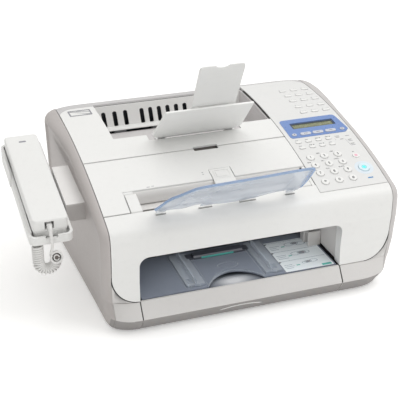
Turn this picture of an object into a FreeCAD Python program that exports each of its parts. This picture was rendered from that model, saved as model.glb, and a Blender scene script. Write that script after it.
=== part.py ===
import FreeCAD, Part
import math
import os
import Sketcher

# A fax machine with a handset on its left side, an open print flap on top, a sloping
# document tray at the front and a paper tray below.
# Millimetres. X to the right, Y to the rear, Z up; the origin is on the table under the
# middle of the body. The top of the housing is one wide arc, seen along X.

V = FreeCAD.Vector
doc = FreeCAD.newDocument("fax_machine")

# ---------------------------------------------------------------- driving dimensions
SIZES = [
    ("cover_x", 194.4),      # outer face of the side covers
    ("seam_x", 183.6),       # seam between side covers and centre housing
    ("gap", 0.2),            # assembly gap between housings
    ("skin", 2.6),           # wall thickness of the mouldings
    ("arc_y", 125.584),      # centre of the arc that forms the top, along Y
    ("arc_z", -566.485),     # centre of the arc that forms the top, height
    ("arc_rad", 755.397),    # radius of the top arc
    ("back_y", 158.8),       # rear face
    ("front_y", 146.2),      # lower edge of the front cover, forward of centre
    ("nose_y", 158.8),       # foremost line of the paper tray front
    ("nose_z", 22.1),        # height of that line
    ("lip_z", 41.1),         # height of the tray front's upper edge
    ("foot_z", 2.0),         # underside of the housing above the table
    ("crease_y", 134.3),     # crease between top and front, forward of centre
    ("strip_y", 120.4),      # rear edge of the front cover's top strip
    ("mouth_y", 84.3),       # front edge of the document feeder cover
    ("cheek_x", 151.0),      # left end of the document mouth, left of centre
    ("hinge_y", 21.3),       # seam behind the feeder cover, forward of centre
    ("panel_x", 88.5),       # seam beside the control panel
    ("open_l", 149.5),       # left edge of the paper opening, left of centre
    ("open_r", 115.8),       # right edge of the paper opening
    ("open_top", 101.6),     # top edge of the paper opening
    ("open_rad", 12.0),      # its upper corner radius
    ("well_l", 132.3),       # left edge of the print recess, left of centre
    ("well_y0", 26.0),       # front edge of the print recess
    ("well_y1", 140.4),      # rear edge of the print recess
    ("page_x", 24.0),        # middle of the paper path, left of centre
    ("flap_wide", 120.0),    # print flap
    ("flap_len", 85.0),
    ("flap_lean", 46.0),     # its lean forward from upright when open
    ("ext_wide", 58.4),      # print flap extension
    ("ext_len", 72.5),
    ("ext_lean", 28.5),
    ("leaf", 2.4),           # thickness of the flap
    ("tray_rise", 40.5),     # angle of the document tray above level
    ("tray_wide", 188.0),
    ("tray_len", 96.0),
    ("slot_y", 128.0),       # row of slots, forward of centre
    ("key_rad", 5.1),        # number keys
    ("key_high", 5.0),       # length of every round key
    ("key_top", 1.5),        # its rise above the panel
    ("start_rad", 7.4),
    ("stop_rad", 4.6),
    ("key_col", 19.3),       # keypad pitch across
    ("key_row", 15.2),       # keypad pitch front to back
    ("key_x", 103.0),        # first key column
    ("key_y", 72.4),         # first key row, forward of centre
    ("phone_wide", 43.0),    # handset
    ("phone_long", 192.0),
    ("phone_tilt", 9.8),     # slope of the handset
    ("cord_rad", 7.4),       # coiled cord outside radius
    ("cord_bend", 10.3),     # radius of the turn at its foot
    ("pick_rad", 14.0),      # pick-up roller
    ("feed_rad", 9.0),       # document feed roller
    ("shaft_rad", 3.0),
    ("fit", 0.05),           # running clearance of shafts
    ("drum_rad", 12.0),
    ("heat_rad", 10.0),      # fuser roller
    ("wheel_root", 14.6),    # feed gear root radius
    ("pinion_root", 6.6),    # motor pinion root radius
    ("wheel_teeth", 32.0),
    ("pinion_teeth", 16.0),
]
sheet = doc.addObject("Spreadsheet::Sheet", "dims")
for row, (name, value) in enumerate(SIZES, start=1):
    sheet.set("A%d" % row, name)
    sheet.set("B%d" % row, str(value))
    sheet.setAlias("B%d" % row, name)
doc.recompute()


class Dim:
    """A number together with the sheet expression that gives it."""

    def __init__(self, value, expr):
        self.value = float(value)
        self.expr = expr

    def _join(self, other, sign, compute):
        other = dim(other)
        return Dim(compute(self.value, other.value),
                   "(%s %s %s)" % (self.expr, sign, other.expr))

    def __add__(self, other):
        return self._join(other, "+", float.__add__)

    def __sub__(self, other):
        return self._join(other, "-", float.__sub__)

    def __mul__(self, other):
        return self._join(other, "*", float.__mul__)

    def __truediv__(self, other):
        return self._join(other, "/", float.__truediv__)

    def __radd__(self, other):
        return dim(other) + self

    def __rsub__(self, other):
        return dim(other) - self

    def __rmul__(self, other):
        return dim(other) * self

    def __neg__(self):
        return Dim(-self.value, "(0 - %s)" % self.expr)


def dim(number):
    if isinstance(number, Dim):
        return number
    if number >= 0:
        return Dim(number, repr(round(float(number), 6)))
    return Dim(number, "(0 - %r)" % round(-float(number), 6))


class Sizes:
    """The driving dimensions as attributes, each one a Dim."""


size = Sizes()
for name, value in SIZES:
    setattr(size, name, Dim(value, "dims." + name))


# ---------------------------------------------------------------- outlines
# An outline is ("path", points, arcs) or ("disc", x, y, radius). In arcs, the key is the
# point an arc starts from and the value is (centre x, centre y, radius, anticlockwise).

def poly(*points, arcs=None):
    return ("path", points, arcs or {})


def rect(x0, y0, x1, y1):
    return poly((x0, y0), (x1, y0), (x1, y1), (x0, y1))


def soft_rect(x0, y0, x1, y1, r):
    """Rectangle with rounded corners."""
    x0, y0, x1, y1, r = map(dim, (x0, y0, x1, y1, r))
    return poly((x0 + r, y0), (x1 - r, y0), (x1, y0 + r), (x1, y1 - r),
                (x1 - r, y1), (x0 + r, y1), (x0, y1 - r), (x0, y0 + r),
                arcs={1: (x1 - r, y0 + r, r, True), 3: (x1 - r, y1 - r, r, True),
                      5: (x0 + r, y1 - r, r, True), 7: (x0 + r, y0 + r, r, True)})


def disc(x, y, radius):
    return ("disc", x, y, radius)


def arc_z(y, depth=0.0):
    """Height of the top arc (or of a skin that deep below it) at y."""
    radius = size.arc_rad - depth
    off = dim(y) - size.arc_y
    root = Dim(math.sqrt(radius.value ** 2 - off.value ** 2),
               "sqrt(%s * %s - %s * %s)" % (radius.expr, radius.expr, off.expr, off.expr))
    return size.arc_z + root


def on_arc(y, depth=0.0):
    """Point (y, z) on the top arc or that deep below it."""
    return (y, arc_z(y, depth))


def top_arc(depth=0.0, ccw=False):
    """Arc record for a piece of the top arc that deep below the surface."""
    return (size.arc_y, size.arc_z, size.arc_rad - depth, ccw)


def flat_band(front, rear, upper, lower):
    """Straight-sided band between two depths below the top arc."""
    return poly(on_arc(front, upper), on_arc(rear, upper),
                on_arc(rear, lower), on_arc(front, lower))


def arc_band(front, rear, upper, lower):
    """The same band with its long sides following the arc."""
    return poly(*flat_band(front, rear, upper, lower)[1],
                arcs={0: top_arc(upper), 2: top_arc(lower, True)})


# ---------------------------------------------------------------- sketching
def bind(sk, constraint, value):
    index = sk.addConstraint(constraint)
    if "dims." in value.expr:
        sk.setExpression("Constraints[%d]" % index, value.expr)


def pin_point(sk, geo, end, x, y):
    """Hold one point of a geometry at (x, y); a zero is held on the axis itself."""
    for kind, coord, axis in (("DistanceX", x, -2), ("DistanceY", y, -1)):
        if coord.value == 0.0:
            sk.addConstraint(Sketcher.Constraint("PointOnObject", geo, end, axis))
        else:
            bind(sk, Sketcher.Constraint(kind, -1, 1, geo, end, coord.value), coord)


def circle(x, y, radius):
    return Part.Circle(V(x.value, y.value, 0), V(0, 0, 1), radius.value)


def draw_disc(sk, x, y, radius):
    x, y, radius = dim(x), dim(y), dim(radius)
    geo = sk.addGeometry(circle(x, y, radius), False)
    pin_point(sk, geo, 3, x, y)
    bind(sk, Sketcher.Constraint("Radius", geo, radius.value), radius)


def draw_arc(sk, start, end, record):
    """Add an arc; gives its index, its (start, end) point numbers and its radius."""
    x, y, radius = map(dim, record[:3])
    ccw = record[3]
    first = math.atan2(start[1].value - y.value, start[0].value - x.value)
    last = math.atan2(end[1].value - y.value, end[0].value - x.value)
    if not ccw:
        first, last = last, first
    if last <= first:
        last += 2 * math.pi
    geo = sk.addGeometry(Part.ArcOfCircle(circle(x, y, radius), first, last), False)
    return geo, ((1, 2) if ccw else (2, 1)), radius


def draw_path(sk, points, arcs):
    points = [(dim(x), dim(y)) for x, y in points]
    total = len(points)
    sides = []
    for i in range(total):
        start, end = points[i], points[(i + 1) % total]
        if i in arcs:
            sides.append(draw_arc(sk, start, end, arcs[i]))
        else:
            line = Part.LineSegment(V(start[0].value, start[1].value, 0),
                                    V(end[0].value, end[1].value, 0))
            sides.append((sk.addGeometry(line, False), (1, 2), None))
    for i, (geo, ends, radius) in enumerate(sides):
        following, next_ends, _ = sides[(i + 1) % total]
        sk.addConstraint(Sketcher.Constraint("Coincident", geo, ends[1],
                                             following, next_ends[0]))
    for (x, y), (geo, ends, radius) in zip(points, sides):
        pin_point(sk, geo, ends[0], x, y)
        if radius is not None:
            bind(sk, Sketcher.Constraint("Radius", geo, radius.value), radius)


# ---------------------------------------------------------------- solids
def set_bound(obj, prop, value):
    value = dim(value)
    setattr(obj, prop, value.value)
    obj.setExpression(prop, value.expr)


def place(obj, x, y, z, rotation=None, lean=None):
    """Bind an object's place, and with lean also its angle about X."""
    x, y, z = dim(x), dim(y), dim(z)
    if lean is not None:
        lean = dim(lean)
        rotation = FreeCAD.Rotation(V(1, 0, 0), lean.value)
    obj.Placement = FreeCAD.Placement(V(x.value, y.value, z.value),
                                      rotation or FreeCAD.Rotation())
    for axis, coord in (("x", x), ("y", y), ("z", z)):
        obj.setExpression("Placement.Base." + axis, coord.expr)
    if lean is not None:
        obj.setExpression("Placement.Rotation.Angle", lean.expr)


class Moulding:
    """A PartDesign body built from sketches on its own origin planes."""

    def __init__(self, label):
        self.body = doc.addObject("PartDesign::Body", label + "_body")
        self.body.Label = label
        self.label = label
        self.count = 0

    def _add(self, kind):
        self.count += 1
        name = "%s_%s%d" % (self.label, kind.lower(), self.count)
        return self.body.newObject("PartDesign::" + kind, name)

    def _origin(self, role):
        return [f for f in self.body.Origin.OriginFeatures if f.Role == role][0]

    def _sketch(self, plane, at, shapes):
        self.count += 1
        sk = self.body.newObject("Sketcher::SketchObject",
                                 "%s_sketch%d" % (self.label, self.count))
        sk.AttachmentSupport = [(self._origin(plane + "_Plane"), "")]
        sk.MapMode = "FlatFace"
        # The XZ plane faces -Y.
        offset = -dim(at) if plane == "XZ" else dim(at)
        sk.AttachmentOffset = FreeCAD.Placement(V(0, 0, offset.value), FreeCAD.Rotation())
        sk.setExpression("AttachmentOffset.Base.z", offset.expr)
        for kind, *outline in shapes:
            (draw_disc if kind == "disc" else draw_path)(sk, *outline)
        return sk

    def _extrude(self, kind, sk, length, reverse):
        feature = self._add(kind)
        feature.Profile = sk
        set_bound(feature, "Length", length)
        feature.Reversed = reverse
        sk.Visibility = False
        return feature

    def pad(self, plane, at, shapes, length):
        """Pad from the coordinate at, towards the positive axis."""
        sk = self._sketch(plane, at, shapes)
        return self._extrude("Pad", sk, length, plane == "XZ")

    def pocket(self, plane, at, shapes, length):
        """Pocket from the coordinate at, towards the positive axis."""
        sk = self._sketch(plane, at, shapes)
        return self._extrude("Pocket", sk, length, plane != "XZ")

    def fillet(self, pick, radius):
        """Round the edges of the shape so far that pick accepts."""
        doc.recompute()
        tip = self.body.Tip
        names = ["Edge%d" % i for i, edge in enumerate(tip.Shape.Edges, start=1)
                 if pick(edge, edge.BoundBox)]
        if not names:
            raise RuntimeError("no edges picked on " + self.label)
        feature = self._add("Fillet")
        feature.Base = (tip, names)
        set_bound(feature, "Radius", radius)

    def repeat_around_x(self, original, count):
        feature = self._add("PolarPattern")
        feature.Originals = [original]
        feature.Axis = (self._origin("X_Axis"), [""])
        feature.Angle = 360
        feature.Occurrences = int(count.value)
        feature.setExpression("Occurrences", count.expr)
        self.body.Tip = feature


def near(a, b, tol=0.05):
    return abs(a - b) < tol


def rod(name, axis, x, y, z, radius, length):
    """Cylinder from the point (x, y, z) along +X, +Y or +Z."""
    cylinder = doc.addObject("Part::Cylinder", name)
    set_bound(cylinder, "Radius", radius)
    set_bound(cylinder, "Height", length)
    rotation = {"X": FreeCAD.Rotation(V(0, 1, 0), 90),
                "Y": FreeCAD.Rotation(V(1, 0, 0), -90),
                "Z": FreeCAD.Rotation()}[axis]
    place(cylinder, x, y, z, rotation)
    return cylinder


def panel_rod(name, x, y, radius, top, length):
    """Cylinder square to the top arc at (x, y), ending that far above the surface."""
    cylinder = doc.addObject("Part::Cylinder", name)
    set_bound(cylinder, "Radius", radius)
    set_bound(cylinder, "Height", length)
    normal_y = (dim(y) - size.arc_y) / size.arc_rad
    normal_z = Dim(math.sqrt(1 - normal_y.value ** 2),
                   "sqrt(1 - %s * %s)" % (normal_y.expr, normal_y.expr))
    lean = Dim(math.degrees(math.asin(-normal_y.value)), "asin(%s)" % (-normal_y).expr)
    rise = dim(top) - length
    place(cylinder, x, y + normal_y * rise, arc_z(y) + normal_z * rise, lean=lean)
    return cylinder


def fuse(name, parts):
    fused = doc.addObject("Part::MultiFuse", name)
    fused.Shapes = parts
    return fused


PIECES = {}


def keep(label, obj):
    """Name an object as a finished piece to be exported."""
    obj.Label = label
    PIECES[label] = obj


def moulding(build):
    """Decorator: build a piece at once, on a new Moulding named after the function."""
    label = build.__name__
    part = Moulding(label)
    keep(label, build(part) or part.body)
    return build


# ---------------------------------------------------------------- shared places
GAP = size.gap
SKIN = size.skin
SEAM = size.seam_x - GAP       # side of the centre housing
PAGE_X = -size.page_x
TOP_REAR_Y = 150.0             # rear end of the top arc

# Axes along X, as (y, z).
FLAP_PIN = (17.4, arc_z(17.4) - 2.4)
COVER_PIN_Y = -size.hinge_y - 5.7
COVER_PIN = (COVER_PIN_Y, arc_z(COVER_PIN_Y) - 7.2)
LATCH_PIN = on_arc(-68.2, 1.3)
FEED_AXIS = (-48.0, 156.0)
PICK_AXIS = (-38.0, 68.0)
MOTOR_AXIS = (PICK_AXIS[0] + 24.1, PICK_AXIS[1])
FUSER_AXIS = (104.0, 112.0)
DUST_PIN = (-52.0, 40.4)

# The front face from bottom to top: y, z, and the share of an inset that moves each.
FRONT_FACE = [
    (-145.2, 67.0, 1.0, 0.0),
    (-146.3, 81.0, 1.0, 0.0),
    (-148.9, 102.6, 1.0, 0.0),
    (-148.6, 123.1, 1.0, -0.3),
    (-145.5, 132.5, 1.0, -0.6),
    (-139.3, 140.4, 0.5, -1.0),
]


# ---------------------------------------------------------------- side covers
def silhouette(inset):
    """Side view of the housing: table edge, nose, front, top arc, back."""
    face = [(y + dy * inset, z + dz * inset) for y, z, dy, dz in FRONT_FACE]
    crease = -size.crease_y + (6.0 if inset else 0.0)
    return poly((-146.0 + inset, size.foot_z + inset),
                (-size.nose_y + 1.3 * inset, size.nose_z),
                (-size.front_y + inset, size.lip_z), *face,
                on_arc(crease, inset), on_arc(TOP_REAR_Y - inset, inset),
                (156.5 - 0.8 * inset, 184.0 - inset), (size.back_y - inset, 177.0),
                (size.back_y - inset, 10.0), (153.0 - inset, size.foot_z + inset),
                arcs={9: top_arc(inset)})


def side_cover(side, cover_at, hollow_at, outer):
    """Shell open towards the centre, with its outer rim rounded."""
    part = Moulding(side + "_side_cover")
    part.pad("YZ", cover_at, [silhouette(0.0)], size.cover_x - size.seam_x)
    part.pocket("YZ", hollow_at, [silhouette(3.2)], HOLLOW)
    part.fillet(lambda edge, bb: near(bb.XMin, outer) and near(bb.XMax, outer), 2.6)
    keep(side + "_side_cover", part.body)


HOLLOW = 20.0       # depth of the hollowing cut
SIDE_WALL = 3.0
side_cover("left", -size.cover_x, -size.cover_x + SIDE_WALL, -size.cover_x.value)
side_cover("right", size.seam_x, size.cover_x - SIDE_WALL - HOLLOW, size.cover_x.value)


# ---------------------------------------------------------------- base and front
@moulding
def base_frame(part):
    part.pad("XY", size.foot_z, [rect(-SEAM, -138.0, SEAM, 155.6)], 3.0)
    # Front corners either side of the paper tray, hollowed to a skin.
    corner = [poly((-146.0, size.foot_z), (-size.nose_y, size.nose_z),
                   (-size.front_y, size.lip_z - GAP), (-143.8, size.lip_z - GAP),
                   (-136.0, 34.0), (-136.0, size.foot_z))]
    part.pad("YZ", -SEAM, corner, SEAM - size.open_l - 0.3)
    part.pad("YZ", size.open_r + 0.3, corner, SEAM - size.open_r - 0.3)
    hollow = [poly((-142.5, size.foot_z + 3.0), (-size.nose_y + 4.6, size.nose_z + 0.2),
                   (-143.8, size.lip_z - 5.2), (-134.0, 31.0),
                   (-134.0, size.foot_z + 3.0))]
    part.pocket("YZ", -SEAM + 2.0, hollow, SEAM - size.open_l - 4.5)
    part.pocket("YZ", size.open_r + 2.5, hollow, SEAM - size.open_r - 4.5)
    # Gussets behind the rounded lower corners of the front cover.
    for z0, z1, thick in ((30.0, 68.0, 3.0), (4.0, 31.0, 5.0)):
        part.pad("XZ", -141.8, [rect(-SEAM, z0, -156.0, z1),
                                rect(156.0, z0, SEAM, z1)], thick)
    # Side and rear walls of the paper compartment.
    left, right = -size.open_l, size.open_r
    part.pad("XY", 4.0, [rect(left - 2.9, -139.0, left - 0.4, 150.0),
                         rect(right + 0.4, -139.0, right + 2.9, 150.0)], 34.0)
    part.pad("XY", 4.0, [rect(left - 2.9, 147.5, right + 2.9, 150.0)], 30.0)
    # Clearance for the lowest cover screw and for the line sockets.
    part.pocket("XZ", 146.0, [disc(0.0, 16.0, 1.7)], 6.0)
    part.pocket("XZ", 141.0, [rect(-154.0, 23.6, -131.6, 36.4)], 10.0)


# Slots in the top strip: left and right end.
SLOTS = [(-123.1, -109.9), (-69.7, -51.6), (-17.2, 4.9), (43.1, 56.5)]


@moulding
def front_cover(part):
    strip = -size.strip_y
    bottom = size.lip_z + GAP
    part.pad("YZ", -SEAM, [poly(
        (-size.front_y, bottom), *[row[:2] for row in FRONT_FACE],
        on_arc(-size.crease_y), on_arc(strip), on_arc(strip, SKIN), on_arc(-133.6, SKIN),
        (-137.6, 138.0), (-142.8, 131.6), (-145.7, 122.7), (-146.0, 102.8),
        (-143.4, 81.0), (-142.3, 67.0), (-size.front_y + 3.0, bottom),
        arcs={7: top_arc(), 9: top_arc(SKIN, True)})], 2.0 * SEAM)
    # Room for the control panel.
    part.pocket("XY", 128.0,
                [rect(size.panel_x, -size.crease_y + 0.1, 190.0, -100.0)], 40.0)
    # Paper opening with rounded upper corners.
    left, right, top, r = -size.open_l, size.open_r, size.open_top, size.open_rad
    part.pocket("XZ", -170.0, [poly(
        (left, 30.0), (right, 30.0), (right, top - r), (right - r, top),
        (left + r, top), (left, top - r),
        arcs={2: (right - r, top - r, r, True), 4: (left + r, top - r, r, True)})], 60.0)
    part.pocket("XY", 130.0, [rect(x0, -size.slot_y - 1.1, x1, -size.slot_y + 1.1)
                              for x0, x1 in SLOTS], 30.0)
    low = bottom.value
    part.fillet(lambda edge, bb: near(abs(edge.CenterOfMass.x), SEAM.value)
                and near(bb.ZMin, low) and near(bb.ZMax, low) and bb.YLength > 2.0, 22.0)


# ---------------------------------------------------------------- top and rear
def roof(part, at, width, front):
    """Skin under the top arc, with a rolled rear edge."""
    part.pad("YZ", at, [poly(
        on_arc(front), on_arc(TOP_REAR_Y), (156.2, 184.6), (158.6, 178.2),
        (156.0, 178.2), (153.9, 183.0), on_arc(149.0, SKIN), on_arc(front, SKIN),
        arcs={0: top_arc(), 6: top_arc(SKIN, True)})], width)


@moulding
def top_cover(part):
    roof(part, -SEAM, SEAM + size.panel_x - GAP, -size.hinge_y + 1.3)
    # Print recess, the flap's notch ahead of it, and a notch in the front edge.
    for opening in (rect(-size.well_l, size.well_y0, 100.0, size.well_y1),
                    rect(PAGE_X - 64.0, 12.0, PAGE_X + 64.0, 30.0),
                    rect(-39.0, -30.0, -6.0, -16.6)):
        part.pocket("XY", 150.0, [opening], 60.0)
    # Ears that carry the pins of the print flap.
    ear = [poly(on_arc(6.0, 1.0), (6.0, 172.5), (14.0, 173.5), (20.6, 175.6),
                (20.6, 180.3), (12.5, 179.9))]
    part.pad("YZ", PAGE_X - 54.5, ear, 3.0)
    part.pad("YZ", PAGE_X + 51.5, ear, 3.0)
    part.pocket("YZ", PAGE_X - 60.0, [disc(*FLAP_PIN, 1.5)], 120.0)
    # Lugs that carry the pins of the feeder cover.
    lug = [poly(on_arc(-12.5, 1.2), (-12.5, 161.5), (-30.0, 161.5), (-30.0, 167.6),
                (-28.4, 169.3), (-25.6, 169.3), (-23.9, 167.6), (-23.6, 165.2),
                (-16.3, 165.2), on_arc(-16.3, 1.2))]
    part.pad("YZ", -150.0, lug, 3.0)
    part.pad("YZ", 62.0, lug, 3.0)
    part.pocket("YZ", -160.0, [disc(*COVER_PIN, 1.5)], 240.0)


# Cover screws in the rear face: x, z.
SCREWS = [(-150.0, 160.0), (0.0, 160.0), (150.0, 160.0),
          (-150.0, 52.0), (0.0, 16.0), (170.0, 52.0)]
SCREW_RAD = 1.6


@moulding
def rear_cover(part):
    part.pad("XZ", 155.9, [rect(-SEAM, 6.0, SEAM, 177.8)], 2.7)
    # Socket windows and a row of upright slots, then the screw holes.
    slots = [rect(50.0 + 7.0 * i, 60.0, 53.0 + 7.0 * i, 96.0) for i in range(9)]
    part.pocket("XZ", 150.0, [rect(130.0, 22.0, 158.0, 42.0),
                              rect(-166.0, 24.0, -132.0, 36.0)] + slots, 20.0)
    part.pocket("XZ", 150.0, [disc(x, z, SCREW_RAD) for x, z in SCREWS], 20.0)


# Centres of the slots in the recess's rear wall, along X.
VENTS = [-117.0, -101.0, -85.5, -61.5, -48.7, -35.9, -23.1, -10.3, 2.5, 26.5, 42.0,
         58.0, 74.0]


@moulding
def output_chute(part):
    """Lining of the print recess: two cheeks, a sloping floor and a slotted rear wall."""
    left = -size.well_l - 2.6
    right = size.panel_x - 2.6
    wall = 2.4
    cheek = [poly(on_arc(27.0, 3.0), on_arc(138.0, 3.0), (138.0, 144.0), (120.0, 144.0),
                  (27.0, 162.5))]
    floor = [poly((27.0, 166.0), (122.0, 148.5), (122.0, 146.2), (27.0, 163.6))]
    rear = [poly((136.4, 144.0), (138.6, 144.0), (138.6, 185.2), (136.4, 185.2))]
    part.pad("YZ", left, cheek, wall)
    part.pad("YZ", right, cheek, wall)
    part.pad("YZ", left, floor, right - left + wall)
    part.pad("YZ", left, rear, right - left + wall)
    part.pocket("XZ", 130.0, [soft_rect(x - 2.4, 154.0, x + 2.4, 176.0, 2.3)
                              for x in VENTS], 20.0)


# ---------------------------------------------------------------- print flap and extension
# Each leaf is drawn upright in its own frame, then leaned forward about its hinge.
FLAP_HALF = size.flap_wide / 2.0
EXT_HALF = size.ext_wide / 2.0
EXT_X = 5.3                         # middle of the extension, right of the flap's
EXT_PIN_Y = 3.4                     # its hinge line in the flap's frame
EXT_PIN_Z = size.flap_len - 4.0


@moulding
def output_flap(part):
    half, length = FLAP_HALF, size.flap_len
    part.pad("XZ", -size.leaf / 2.0, [poly(
        (-half + 9.0, 3.6), (half - 9.0, 3.6), (half + 1.6, 14.0), (half - 2.0, length),
        (-half + 2.0, length), (-half - 1.6, 14.0))], size.leaf)
    # Hinge barrels, each joined to the leaf by a web.
    part.pad("YZ", -half + 9.0, [disc(0.0, 0.0, 2.3)], 10.0)
    part.pad("YZ", half - 19.0, [disc(0.0, 0.0, 2.3)], 10.0)
    part.pad("XY", 0.5, [rect(-half + 9.0, -1.2, -half + 19.0, 1.2),
                         rect(half - 19.0, -1.2, half - 9.0, 1.2)], 5.0)
    part.pocket("YZ", -half, [disc(0.0, 0.0, 1.55)], size.flap_wide)
    # Knuckles behind the free edge, for the extension.
    for x in (EXT_X - EXT_HALF - 6.2, EXT_X + EXT_HALF + 0.6):
        part.pad("YZ", x, [disc(EXT_PIN_Y, EXT_PIN_Z, 2.2)], 5.6)
        part.pad("XY", EXT_PIN_Z - 2.0, [rect(x, 0.6, x + 5.6, 3.2)], 4.0)
    part.pocket("YZ", -half, [disc(EXT_PIN_Y, EXT_PIN_Z, 1.05)], size.flap_wide)
    place(part.body, PAGE_X, *FLAP_PIN, lean=size.flap_lean)


@moulding
def output_extension(part):
    half, length = EXT_HALF, size.ext_len
    # The free edge has a shallow V in the middle.
    part.pad("XZ", -0.9, [poly(
        (-half, 0.0), (half, 0.0), (half, length - 4.0), (half - 3.0, length),
        (10.0, length), (0.0, length - 4.0), (-10.0, length),
        (-half + 3.0, length), (-half, length - 4.0))], 1.8)
    part.pad("YZ", -half, [disc(0.0, 0.0, 1.5)], 2.0 * half)
    part.pad("YZ", -half - 5.6, [disc(0.0, 0.0, 1.0)], 2.0 * half + 11.2)
    # Its hinge line is carried out along the leaned flap.
    angle = math.radians(size.flap_lean.value)
    cos_lean = Dim(math.cos(angle), "cos(dims.flap_lean * 1 deg)")
    sin_lean = Dim(math.sin(angle), "sin(dims.flap_lean * 1 deg)")
    place(part.body, PAGE_X + EXT_X,
          FLAP_PIN[0] - EXT_PIN_Z * sin_lean + EXT_PIN_Y * cos_lean,
          FLAP_PIN[1] + EXT_PIN_Z * cos_lean + EXT_PIN_Y * sin_lean, lean=size.ext_lean)


# Hinge pins: name, left end, axis, length.
keep("hinge_pins", fuse("hinge_pins_set", [
    rod(name, "X", x, *axis, 1.5, length) for name, x, axis, length in (
        ("flap_pin_left", PAGE_X - 54.4, FLAP_PIN, 13.0),
        ("flap_pin_right", PAGE_X + 41.4, FLAP_PIN, 13.0),
        ("cover_pin_left", -150.0, COVER_PIN, 8.0),
        ("cover_pin_right", 57.0, COVER_PIN, 8.0))]))


# ---------------------------------------------------------------- document feeder
@moulding
def adf_cover(part):
    part.pad("YZ", -SEAM, [arc_band(-size.strip_y + 0.5, -size.hinge_y - 0.9, 0.0, SKIN)],
             SEAM + size.panel_x - GAP)
    # Document mouth, then the notch in the rear edge and the latch opening.
    part.pocket("XY", 120.0, [rect(-size.cheek_x, -130.0, 100.0, -size.mouth_y)], 80.0)
    part.pocket("XY", 120.0, [rect(-39.0, -26.0, -6.0, -15.0),
                              rect(-35.3, -90.0, -5.7, -66.0)], 80.0)
    knuckle = [poly(on_arc(-31.0, 1.2), (-31.5, 162.0), (-22.8, 162.0),
                    on_arc(-22.8, 1.2))]
    part.pad("YZ", -146.6, knuckle, 4.0)
    part.pad("YZ", 57.2, knuckle, 4.0)
    part.pocket("YZ", -160.0, [disc(*COVER_PIN, 1.55)], 240.0)
    part.pocket("YZ", -37.2, [disc(*LATCH_PIN, 0.95)], 33.4)


@moulding
def adf_upper_guide(part):
    """Curved guide behind the mouth, with the ears of the feed roller."""
    part.pad("YZ", -138.0, [poly(
        on_arc(-83.4, 2.8), (-85.6, 152.5), (-84.0, 147.0), (-79.0, 144.4),
        (-60.0, 146.4), (-60.0, 148.4), (-78.4, 146.6), (-82.0, 148.4),
        (-83.2, 152.8), on_arc(-81.0, 2.8))], 220.0)
    ear = [poly((-66.0, 147.0), (-36.0, 149.0), (-36.0, 164.0), (-66.0, 160.5))]
    part.pad("YZ", -104.0, ear, 3.0)
    part.pad("YZ", 51.0, ear, 3.0)
    part.pocket("YZ", -110.0, [disc(*FEED_AXIS, size.shaft_rad + size.fit)], 170.0)


@moulding
def adf_feed_roller(part):
    part.pad("YZ", -106.0, [disc(*FEED_AXIS, size.shaft_rad)], 162.0)
    for x in (-58.0, -16.0):
        part.pad("YZ", x, [disc(*FEED_AXIS, size.feed_rad)], 26.0)


@moulding
def adf_latch(part):
    part.pad("YZ", -34.9, [poly(
        on_arc(-95.0, 0.3), on_arc(-66.4, 0.3), on_arc(-66.4, 2.4), on_arc(-92.6, 2.4),
        (-93.4, 146.0), (-95.4, 146.0),
        arcs={0: top_arc(0.3), 2: top_arc(2.4, True)})], 28.8)
    part.pad("YZ", -36.9, [disc(*LATCH_PIN, 0.9)], 32.8)


@moulding
def document_bed(part):
    part.pad("YZ", -150.4, [poly(
        (-119.9, 143.2), (-112.0, 139.6), (-95.0, 138.6), (-30.0, 143.6),
        (-30.0, 141.4), (-95.0, 136.4), (-113.0, 137.2), (-119.9, 140.4))],
        150.4 + size.panel_x - 0.5)
    # Window over the scan unit.
    part.pocket("XY", 120.0, [rect(-142.0, -78.0, 78.0, -66.0)], 60.0)
    # Two cross slots that the document guides run in.
    part.pocket("XY", 120.0, [rect(-146.0, -101.6, -84.0, -98.4),
                              rect(17.0, -101.6, 79.0, -98.4)], 60.0)


def document_guide(side, left, stem):
    """Document guide on a stem through the bed, with a foot below."""
    part = Moulding("document_guide_" + side)
    part.pad("YZ", left, [poly((-119.0, 145.6), (-108.0, 141.2), (-87.6, 140.6),
                               (-87.6, 154.5), (-95.0, 155.2), (-119.0, 148.0))], 8.5)
    part.pad("XY", 133.0, [rect(stem, -101.4, stem + 2.0, -98.6)], 10.0)
    part.pad("XY", 133.0, [rect(stem - 3.0, -104.0, stem + 5.0, -96.0)], 2.0)
    keep("document_guide_" + side, part.body)


document_guide("left", -149.8, -144.5)
document_guide("right", 74.7, 76.0)


@moulding
def scan_unit(part):
    part.pad("YZ", -141.6, [poly((-77.6, 128.0), (-66.4, 128.0), (-66.4, 140.4),
                                 (-77.6, 139.6))], 219.2)
    part.pocket("YZ", -134.0, [rect(-75.6, 130.0, -68.4, 136.4)], 204.0)


@moulding
def document_tray(part):
    """Plate rising forward, with feet in the outer slots of the front cover."""
    half, length = size.tray_wide / 2.0, size.tray_len
    middle_x = -33.3
    part.pad("XY", -0.9, [poly(
        (-half + 1.0, 12.0), (-half + 2.0, 7.5), (half - 2.0, 7.5), (half - 1.0, 12.0),
        (half - 8.0, 50.0), (half - 19.0, 72.0), (half - 32.0, 84.0),
        (half - 48.0, length - 7.0), (40.0, length - 4.0), (-40.0, length - 4.0),
        (-half + 48.0, length - 7.0), (-half + 32.0, 84.0), (-half + 19.0, 72.0),
        (-half + 8.0, 50.0))], 1.8)
    part.pad("XY", -0.9, [rect(-89.2, -2.0, -77.4, 12.0),
                          rect(77.4, -2.0, 89.2, 12.0)], 1.8)
    # Drawn towards +Y, tipped up, then turned to face forward.
    turn = FreeCAD.Rotation(V(0, 0, 1), 180)
    rise = FreeCAD.Rotation(V(1, 0, 0), size.tray_rise.value)
    base = V(middle_x, -size.slot_y.value, arc_z(-size.slot_y).value + 3.4)
    part.body.Placement = FreeCAD.Placement(base, turn.multiply(rise))


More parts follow.
